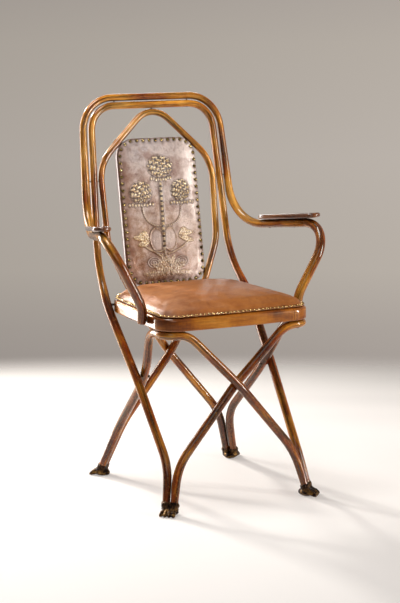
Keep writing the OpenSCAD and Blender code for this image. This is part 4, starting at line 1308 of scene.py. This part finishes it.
# Distance inward and height of each line: flat underside, round rim and flat top
pad_section = [(14.0, 0.0)]
pad_section += [(pad_rim_r * (1 - math.cos(a)), pad_rim_r * (1 + math.sin(a)))
                for a in np.radians(range(-90, 91, 15))]
pad_section += [(11.0, pad_t), (17.0, pad_t)]
pad_material = pad_wood()


def arm_pad(name, side, node):
    turn = round_turn(72)
    ends = np.sign(np.sin(turn)) * np.clip(np.abs(np.sin(turn)) * 3, 0, 1)
    verts = []
    grain = []
    for inward, z in pad_section:
        r = pad_w / 2 - inward
        v = r * np.sin(turn) + pad_straight * ends
        u = r * np.cos(turn) * (1 - 0.1 * (v / (pad_l / 2)) ** 2)
        verts.append(pad_middle + np.outer(u, arm_side) + np.outer(v, -arm_dir) + (pad_lift + z) * arm_up)
        grain.append(columns_of(u, v, z) * 0.001 + vec(side * 3.1, 0, 0))
    verts = placed(np.concatenate(verts) * vec(side, 1, 1))
    faces = tube_faces(len(pad_section), len(turn))
    dress(mesh_object(name, verts, faces, pad_material, grain=np.concatenate(grain)), node)


arm_pad("arm_rest_right", 1, "arm_pad_right")
arm_pad("arm_rest_left", -1, "arm_pad_left")


# Cast bronze paw feet
def paw_bronze():
    s = Shader("paw_bronze")
    where = s.place()
    cloud = s.noise(where, 90, 4, 0.65)
    fine = s.noise(where, 600, 4, 0.6)
    sharp = s.add("ShaderNodeNewGeometry").outputs["Pointiness"]
    colour = s.ramp(cloud, [(0.35, "#120b08"), (0.5, "#2c1b12"), (0.66, "#4d3524")])
    # Rubbed bright on ridges, most of all near the floor
    worn = s.plus(s.range(sharp, 0.53, 0.62, 0.0, 0.7), s.range(cloud, 0.45, 0.65, 0.0, 0.6), True)
    worn = s.times(worn, s.range(s.part(where, "Z"), 0.008, 0.020, 0.6, 0.12))
    colour = s.mix(worn, colour, "#c0934a")
    return s.finish(colour, Metallic=0.9, Roughness=s.range(fine, 0.3, 0.7, 0.28, 0.5),
                    Normal=s.bump(fine, 0.35, 0.0005))


bronze = paw_bronze()
paw_voxel = 1.1
# Lumps of the ball and heel, each with its place and half sizes
paw_lumps = [((-3, 0, 8), (17, 19, 11)), ((-12, 0, 6.5), (10, 13, 8))]
# Joints of a toe, from its root to its claw: distance along it, drop, half sizes and how far it points down
toe_joints = [(0, 0, (8.5, 5.6, 7.6), 0), (8, 2.2, (6.6, 5.4, 6.2), 0), (13, 4.8, (5.2, 4.9, 4.6), 0),
              (16.3, 6.6, (3.4, 1.9, 2.4), 0.5)]
# Where the toes' roots lie
toe_root_x = 6
toe_root_z = 9.5
toe_root_share = 0.92
# Cuff round each rod's end: height and radius of its rings, and the tufts of fur over it
cuff_rings = ((0, 11.4), (6, 11.1), (12, 10.8), (17, 10.7))
cuff_ring_half = 5.5
cuff_tufts = 10
tuft_r = 9.6
tuft_h = 14.5
tuft_stagger = 2.0
tuft_turn = 0.3
tuft_size = (5.4, 2.2, 1.7)
# Grooves of fur round the cuff, in metres
fur_low = 0.012
fur_fade = 0.01
fur_depth = 0.00045
fur_grooves = 26
fur_twist = 260


def lump(form, centre, size, axis=None):
    """An ellipsoid, long axis along the given direction."""
    turn = Matrix.Identity(4)
    if axis is not None:
        turn = Vector(axis).to_track_quat("X", "Z").to_matrix().to_4x4()
    matrix = Matrix.Translation(Vector(centre)) @ turn @ Matrix.Diagonal((*size, 1.0))
    bmesh.ops.create_icosphere(form, subdivisions=3, radius=1.0, matrix=matrix)


def paw(name, foot_end, foot_part, across, heading, side, node):
    form = bmesh.new()
    turn = math.radians(heading)
    ahead = vec(math.cos(turn), math.sin(turn), 0)
    left = vec(-math.sin(turn), math.cos(turn), 0)
    base = vec(foot_end[0], foot_end[1], 0)

    def at(x, y, z):
        return base + ahead * x + left * y + vec(0, 0, z)

    for spot, size in paw_lumps:
        lump(form, at(*spot), size)
    for k in toes:
        a = math.radians(toe_fan * k)
        d = ahead * math.cos(a) + left * math.sin(a)
        root = at(toe_root_x, k * toe_step * toe_root_share, toe_root_z)
        for reach, drop, size, down in toe_joints:
            lump(form, root + d * reach - vec(0, 0, drop), size, tuple(d - vec(0, 0, down)))
    for s in (-1, 1):
        rod = foot_end + s * rod_side * across
        up = rod_up(foot_end, foot_part, s * across)
        for h, r in cuff_rings:
            lump(form, rod + up * h, (cuff_ring_half, r, r), tuple(up))
        e1 = unit(np.cross(up, ahead))
        e2 = np.cross(up, e1)
        for k in range(cuff_tufts):
            a = 2 * math.pi * k / cuff_tufts + tuft_turn
            high = tuft_h + tuft_stagger * (k % 2)
            spot = rod + up * high + (e1 * math.cos(a) + e2 * math.sin(a)) * tuft_r
            lump(form, spot, tuft_size, tuple(up))
    mesh = bpy.data.meshes.new(name)
    form.to_mesh(mesh)
    form.free()
    write_points(mesh, placed(read_points(mesh) * vec(side, 1, 1)) * 0.001)
    if side < 0:
        mesh.flip_normals()
    obj = linked(name, mesh)
    remeshed(obj, paw_voxel)
    # Fur over a flat sole
    points = read_points(obj.data)
    away = points - placed(foot_end * vec(side, 1, 1)) * 0.001
    angle = np.arctan2(away[:, 1], away[:, 0])
    high = np.clip((points[:, 2] - fur_low) / fur_fade, 0, 1)
    groove = fur_depth * high * np.cos(angle * fur_grooves + points[:, 2] * fur_twist)
    away[:, 2] = 0
    away /= np.maximum(np.linalg.norm(away, axis=1), 1e-6)[:, None]
    points += away * groove[:, None]
    points[:, 2] = np.maximum(points[:, 2], 0.0)
    write_points(obj.data, points)
    modify(obj, "SMOOTH", factor=0.5, iterations=2)
    apply_modifiers(obj)
    obj.data.materials.clear()
    obj.data.materials.append(bronze)
    shade_smooth(obj.data)
    dress(obj, node)


for place, *foot, heading in [("front", front_end, front_part, front_across, front_turn),
                              ("back", back_end, back_part, back_across, -front_turn)]:
    for hand, side in [("right", 1), ("left", -1)]:
        paw(f"cast_paw_{place}_{hand}", *foot, heading, side, f"paw_{place}_{hand}")


# Fasteners: each has its head's point, direction, length, shank and head
# A head is sunk by this share of its width
sunk_share = 0.28
# A bolt ends past a rod's middle by this share of its thickness
bolt_past = 0.22
pin_share = 0.44
crossing_share = 0.9


def sunk(point, way, length, shank, head):
    depth = head * sunk_share
    return [point + way * depth, way, length - depth, shank, head]


def bolt(point, way, length):
    return sunk(point, way, length, bolt_d, bolt_head_d)


def screw(point, way, length):
    return sunk(point, way, length, screw_d, screw_head_d)


def both(fastener):
    point, way, *rest = fastener
    return [fastener, [flip(point), flip(way)] + rest]


def paw_pin(foot_end, foot_part, across):
    middle = foot_end + unit(foot_part - foot_end) * paw_h * pin_share
    return both(screw(middle + across * pin_half, -across, 2 * pin_half))


def pad_screw(along):
    point = pad_middle + arm_dir * along * pad_l - arm_up * arm_d / 2
    return both(screw(point, arm_up, arm_d + pad_t / 2 + pad_air))


def loop_screw(x, y):
    return both(bolt(loop_corner + vec(x, y, -leg_d / 2), to_up, leg_d + loop_bite))


def crossing_screw(point, way):
    return screw(point, way, crossing_span * crossing_share)


to_right, to_back, to_up = vec(1, 0, 0), vec(0, 1, 0), vec(0, 0, 1)
loop_bite = 15
crossing_span = 2 * cross_shift + leg_d
outer_side_x = side_cross_x + 2 * cross_shift + leg_d / 2
loop_screw_in = loop_flat * 0.43
bow_join_x = mix(loop_low_w / 2, shoulder_x, (bow_join_z - loop_low_z) / (loop_shoulder_z - loop_low_z))
bow_join_span = inner_corner_x + post_slope * (bow_top_z - bow_join_z) - bow_join_x
pin_half = rod_side + foot_d / 2 + cuff_wall + 0.8
post_bolt_x = post_x - leg_d / 2 - ring_air - ring_w * 1.22
support_bolt_x = side_x(support_y) - ring_w
ring_screw_y = y_back - ring_w
bow_screw_x = bow_top_w * 0.27
# How deep the bow screws end in the last rod
top_bite = top_d * 0.65
point_bite = inner_d * 0.63
join_bite = upright_d * 0.85
fasteners = {
    "post_bolts": both(bolt(vec(post_bolt_x, post_y, post_z), to_right,
                            post_x + leg_d * bolt_past - post_bolt_x)),
    "support_bolts": both(bolt(vec(support_bolt_x, support_y - 2, post_z), to_right,
                               support_x + arm_d * bolt_past - support_bolt_x)),
    "loop_screws": loop_screw(-loop_screw_in, 0) + loop_screw(-1, loop_screw_in),
    "back_ring_screws": both(bolt(vec(loop_seat_w / 2, ring_screw_y, post_z), to_back,
                                  loop_seat_y + loop_d * bolt_past - ring_screw_y)),
    "crossing_bolts": [crossing_screw(vec(0, y + crossing_span / 2, z), -to_back)
                       for y, z in [(front_cross_y, front_cross_z), (back_cross_y, back_cross_z)]]
    + both(crossing_screw(vec(outer_side_x - crossing_span, side_cross_y, side_cross_z), to_right)),
    "bow_screws": both(screw(on_back(bow_screw_x, inner_top_z) - back_up * inner_d / 2, back_up,
                             inner_d + bow_top_gap + top_bite))
    + [screw(on_back(0, loop_top_z) - back_up * loop_d / 2, back_up, loop_d + point_bite)]
    + both(screw(on_back(bow_join_x - loop_d / 2, bow_join_z), to_right,
                 bow_join_span + inner_d + bow_side_gap + join_bite)),
    "arm_pad_screws": pad_screw(-0.35) + pad_screw(0.08),
    "paw_pins": paw_pin(front_end, front_part, front_across) + paw_pin(back_end, back_part, back_across),
}


def fastener_steel():
    s = Shader("fastener_steel")
    where = s.place()
    age = s.noise(where, 220, 4, 0.65)
    colour = s.ramp(age, [(0.35, "#2e2620"), (0.5, "#6a625a"), (0.66, "#8f8578")])
    colour = s.stain(colour, "#5d3318", s.noise(where, 90, 3), 0.55, 0.7, 0.0, 0.6)
    return s.finish(colour, Metallic=0.85, Roughness=s.range(age, 0.3, 0.7, 0.30, 0.55),
                    Normal=s.bump(age, 0.3, 0.0003))


# A round slotted head over its cup: each line's radius and depth in shares of the head's width
head_rows = [(0.44, 0.10), (0.5, 0.02), (0.5, -0.05)]
head_rows += [(0.5 * math.cos(t), -0.05 - 0.29 * math.sin(t))
              for t in np.radians([12, 26, 40, 52, 63, 73, 82])]
head_rows += [(0.03, -0.345)]
slot_half = 0.075
slot_rim = -0.05
slot_floor = -0.16
head_sides = 28
# The shank's narrow tip, and where it leaves the head
tip_share = 0.35
tip_l = 1.5
shank_top = 0.6


def fastener_set(name, entries, material, node):
    rng = np.random.default_rng(5)
    turn = round_turn(head_sides)
    verts = []
    faces = []
    for point, way, length, shank, head in entries:
        way = unit(way)
        e1 = unit(np.cross(way, vec(0.3, 0.2, 0.9)))
        e2 = np.cross(way, e1)
        spin = rng.uniform(0, math.pi)
        rows = [(shank / 2 * tip_share, length), (shank / 2, length - tip_l), (shank / 2, shank_top)]
        rows += [(head * r, head * z) for r, z in head_rows]
        faces += tube_faces(len(rows), head_sides, len(verts) * head_sides)
        for r, z in rows:
            x, y = r * np.cos(turn), r * np.sin(turn)
            aside = np.abs(-x * math.sin(spin) + y * math.cos(spin))
            cut = (aside < head * slot_half) & (z < slot_rim * head)
            depth = np.where(cut, max(z, slot_floor * head), z)
            verts.append(point + np.outer(x, e1) + np.outer(y, e2) + np.outer(depth, way))
    dress(mesh_object(name, placed(np.concatenate(verts)), faces, material), node)


steel = fastener_steel()
for name, entries in fasteners.items():
    material, slot = (bronze, "paw_bronze") if name == "paw_pins" else (steel, "steel")
    fastener_set("slotted_" + name, entries, material, name)


# Cover behind the panel, the boards and the plates
def cover_leather():
    s = Shader("cover_leather")
    where = s.place()
    cloud = s.noise(where, 24, 5, 0.65)
    crease = s.cells(where, 520)
    colour = s.ramp(cloud, [(0.3, "#3f2415"), (0.5, "#6a4330"), (0.7, "#8a6047")])
    colour = s.shade(colour, 0.25, s.range(crease, 0, 0.1), [(0, 0.5), (1, 1)])
    grain = s.bump(s.range(crease, 0, 0.14), 0.3, 0.0004)
    return s.finish(colour, Roughness=s.range(cloud, 0.3, 0.7, 0.45, 0.62),
                    Normal=s.bump(s.noise(where, 50, 3), 0.3, 0.001, Normal=grain))


def plain_wood():
    s = Shader("plain_wood")
    where = s.place()
    rings = s.noise(where, 130, 4, 0.6, (1, 0.06, 1))
    streak = s.noise(where, 700, 3, 0.6, (1, 0.04, 1))
    colour = s.ramp(s.blend(rings, 0.6, streak, 0.4), [
        (0.34, "#7d5a35"), (0.5, "#a98554"), (0.66, "#c4a374")])
    colour = s.stain(colour, "#5a3d22", s.noise(where, 18, 4, 0.7), 0.5, 0.7, 0.0, 0.45)
    return s.finish(colour, Roughness=s.range(streak, 0.3, 0.7, 0.55, 0.75),
                    Normal=s.bump(streak, 0.3, 0.0005))


cover_in = 1.5
cover_edge = inset(panel_edge, cover_in)
middle = vec(0, panel_h / 2, 0)
# Share of the outline and height of each loop: a rounded edge, then a back that sags a little
cover_loops = [(1.0, panel_cover_t), (1.0, 0.5), (0.99, 0.12), (0.97, 0.0)]
cover_loops += [(scale, 0.35 * (1 - scale)) for scale in (0.85, 0.68, 0.5, 0.32, 0.15)]
loops = [middle + (cover_edge - middle) * scale + vec(0, 0, panel_back_z + z) for scale, z in cover_loops]
faces = tube_faces(len(loops), len(cover_edge))
cover = mesh_object("back_cover", lean(np.concatenate(loops)), faces, cover_leather())
dress(cover, "back_panel_cover")

board = plain_wood()
for name, material in [("seat_board", board), ("back_panel_board", board), ("back_panel_plates", steel)]:
    if not cad[name].material_slots:
        cad[name].data.materials.append(material)
    for item in cad[name].material_slots:
        item.material = material


# Stage: a pale floor that fades into a soft grey wall. Its glow is only seen, its matt part catches light.
to_right_of_view = (0.89, -0.4555, 0)
away_from_view = (0.4555, 0.89, 0)
floor_z = -0.4
floor_radii = (200, 600, 1200, 2000, 3000, 4200)


def floor_material():
    s = Shader("studio_floor")
    where = s.add("ShaderNodeNewGeometry").outputs["Position"]
    across = s.dot(where, to_right_of_view)
    # An oval patch of light, longer towards the camera than behind the chair
    deep = s.plus(s.dot(where, away_from_view), 0.12)
    deep = s.math("MAXIMUM", deep, s.times(deep, -0.5))
    wide = s.times(s.math("SUBTRACT", across, 0.15), 0.55)
    oval = s.add("ShaderNodeCombineXYZ", X=wide, Y=deep).outputs["Vector"]
    away = s.add("ShaderNodeVectorMath", {"operation": "LENGTH"}, i0=oval).outputs["Value"]
    glow = s.ramp(s.range(away, 0.0, 1.7), [
        (0.0, 0.40), (0.34, 0.40), (0.48, 0.32), (0.60, 0.20), (0.74, 0.04)], True)
    tint = s.mix(s.range(across, -0.5, 0.5), "#fffdfb", "#f6eee9")
    shown = s.mix(1.0, glow, tint, "MULTIPLY")
    strength = s.times(s.seen(), s.range(across, -0.5, 0.6, 0.98, 0.9))
    light = s.add("ShaderNodeEmission", Color=shown, Strength=strength)
    matt = s.add("ShaderNodeBsdfDiffuse", Color="#d6d1cc")
    lit = s.add("ShaderNodeAddShader", i0=light.outputs[0], i1=matt.outputs[0])
    clear = s.add("ShaderNodeBsdfTransparent")
    fade = s.ramp(s.range(away, 1.15, 1.62), [(0, 0), (1, 1)], True)
    return s.output(s.add("ShaderNodeMixShader", i0=fade, i1=lit.outputs[0], i2=clear.outputs[0]))


turn = round_turn(96)
loops = [columns_of(r * np.cos(turn), r * np.sin(turn), floor_z) for r in floor_radii]
faces = ring_faces(len(loops), len(turn)) + [end_face(0, len(turn))]
floor = mesh_object("studio_floor", np.concatenate(loops), faces, floor_material())


def studio_world():
    s = Shader("studio", "worlds")
    way = s.add("ShaderNodeTexCoord").outputs["Generated"]
    tone = s.ramp(s.range(s.part(way, "Z"), -0.21, 0.0), [
        (0.0, "#a09892"), (0.10, "#a59d96"), (0.25, "#b0a89f"), (0.55, "#b3aba3"), (0.85, "#aea69d"),
        (1.0, "#a69e97")])
    level = s.times(s.range(s.dot(way, to_right_of_view), -0.12, 0.12, 0.93, 1.09),
                    s.range(s.dot(way, away_from_view), -0.6, 0.5, 0.35, 1.0))
    shown = s.add("ShaderNodeBackground", Color=tone, Strength=level)
    dim = s.add("ShaderNodeBackground", Color="#d8d6d2", Strength=0.08)
    either = s.add("ShaderNodeMixShader", i0=s.seen(), i1=dim.outputs[0], i2=shown.outputs[0])
    return s.output(either, "ShaderNodeOutputWorld")


bpy.context.scene.world = studio_world()


# Azimuth 0 is straight in front of the chair, 90 its right side, 180 behind it
def area_light(name, azimuth, height, distance, size, power, colour, aim=0.5, spread=180):
    data = bpy.data.lights.new(name, "AREA")
    data.shape = "RECTANGLE"
    data.size, data.size_y = size
    data.energy = power
    data.color = colour
    data.spread = math.radians(spread)
    lamp = linked(name, data)
    lamp.visible_camera = False
    a = math.radians(azimuth)
    lamp.location = (math.sin(a) * distance, -math.cos(a) * distance, height)
    lamp.rotation_euler = (Vector((0, 0, aim)) - lamp.location).to_track_quat("-Z", "Y").to_euler()


area_light("key", -166, 1.9, 2.8, (0.35, 0.35), 92, (1.0, 0.98, 0.95))
area_light("back_strip", -148, 0.7, 1.7, (0.4, 1.36), 27, (1.0, 0.98, 0.97))
area_light("right_strip", 44, 0.95, 2.8, (0.28, 1.5), 8.4, (1.0, 0.97, 0.93), 0.85, 60)
area_light("front_fill", -30, 2.0, 2.5, (1.4, 1.4), 8, (1.0, 0.99, 0.98))
area_light("overhead", -100, 2.3, 0.5, (0.7, 0.7), 21, (1.0, 0.99, 0.98))
area_light("back_top", 160, 1.25, 3.0, (1.2, 0.5), 12, (1.0, 0.99, 0.98))
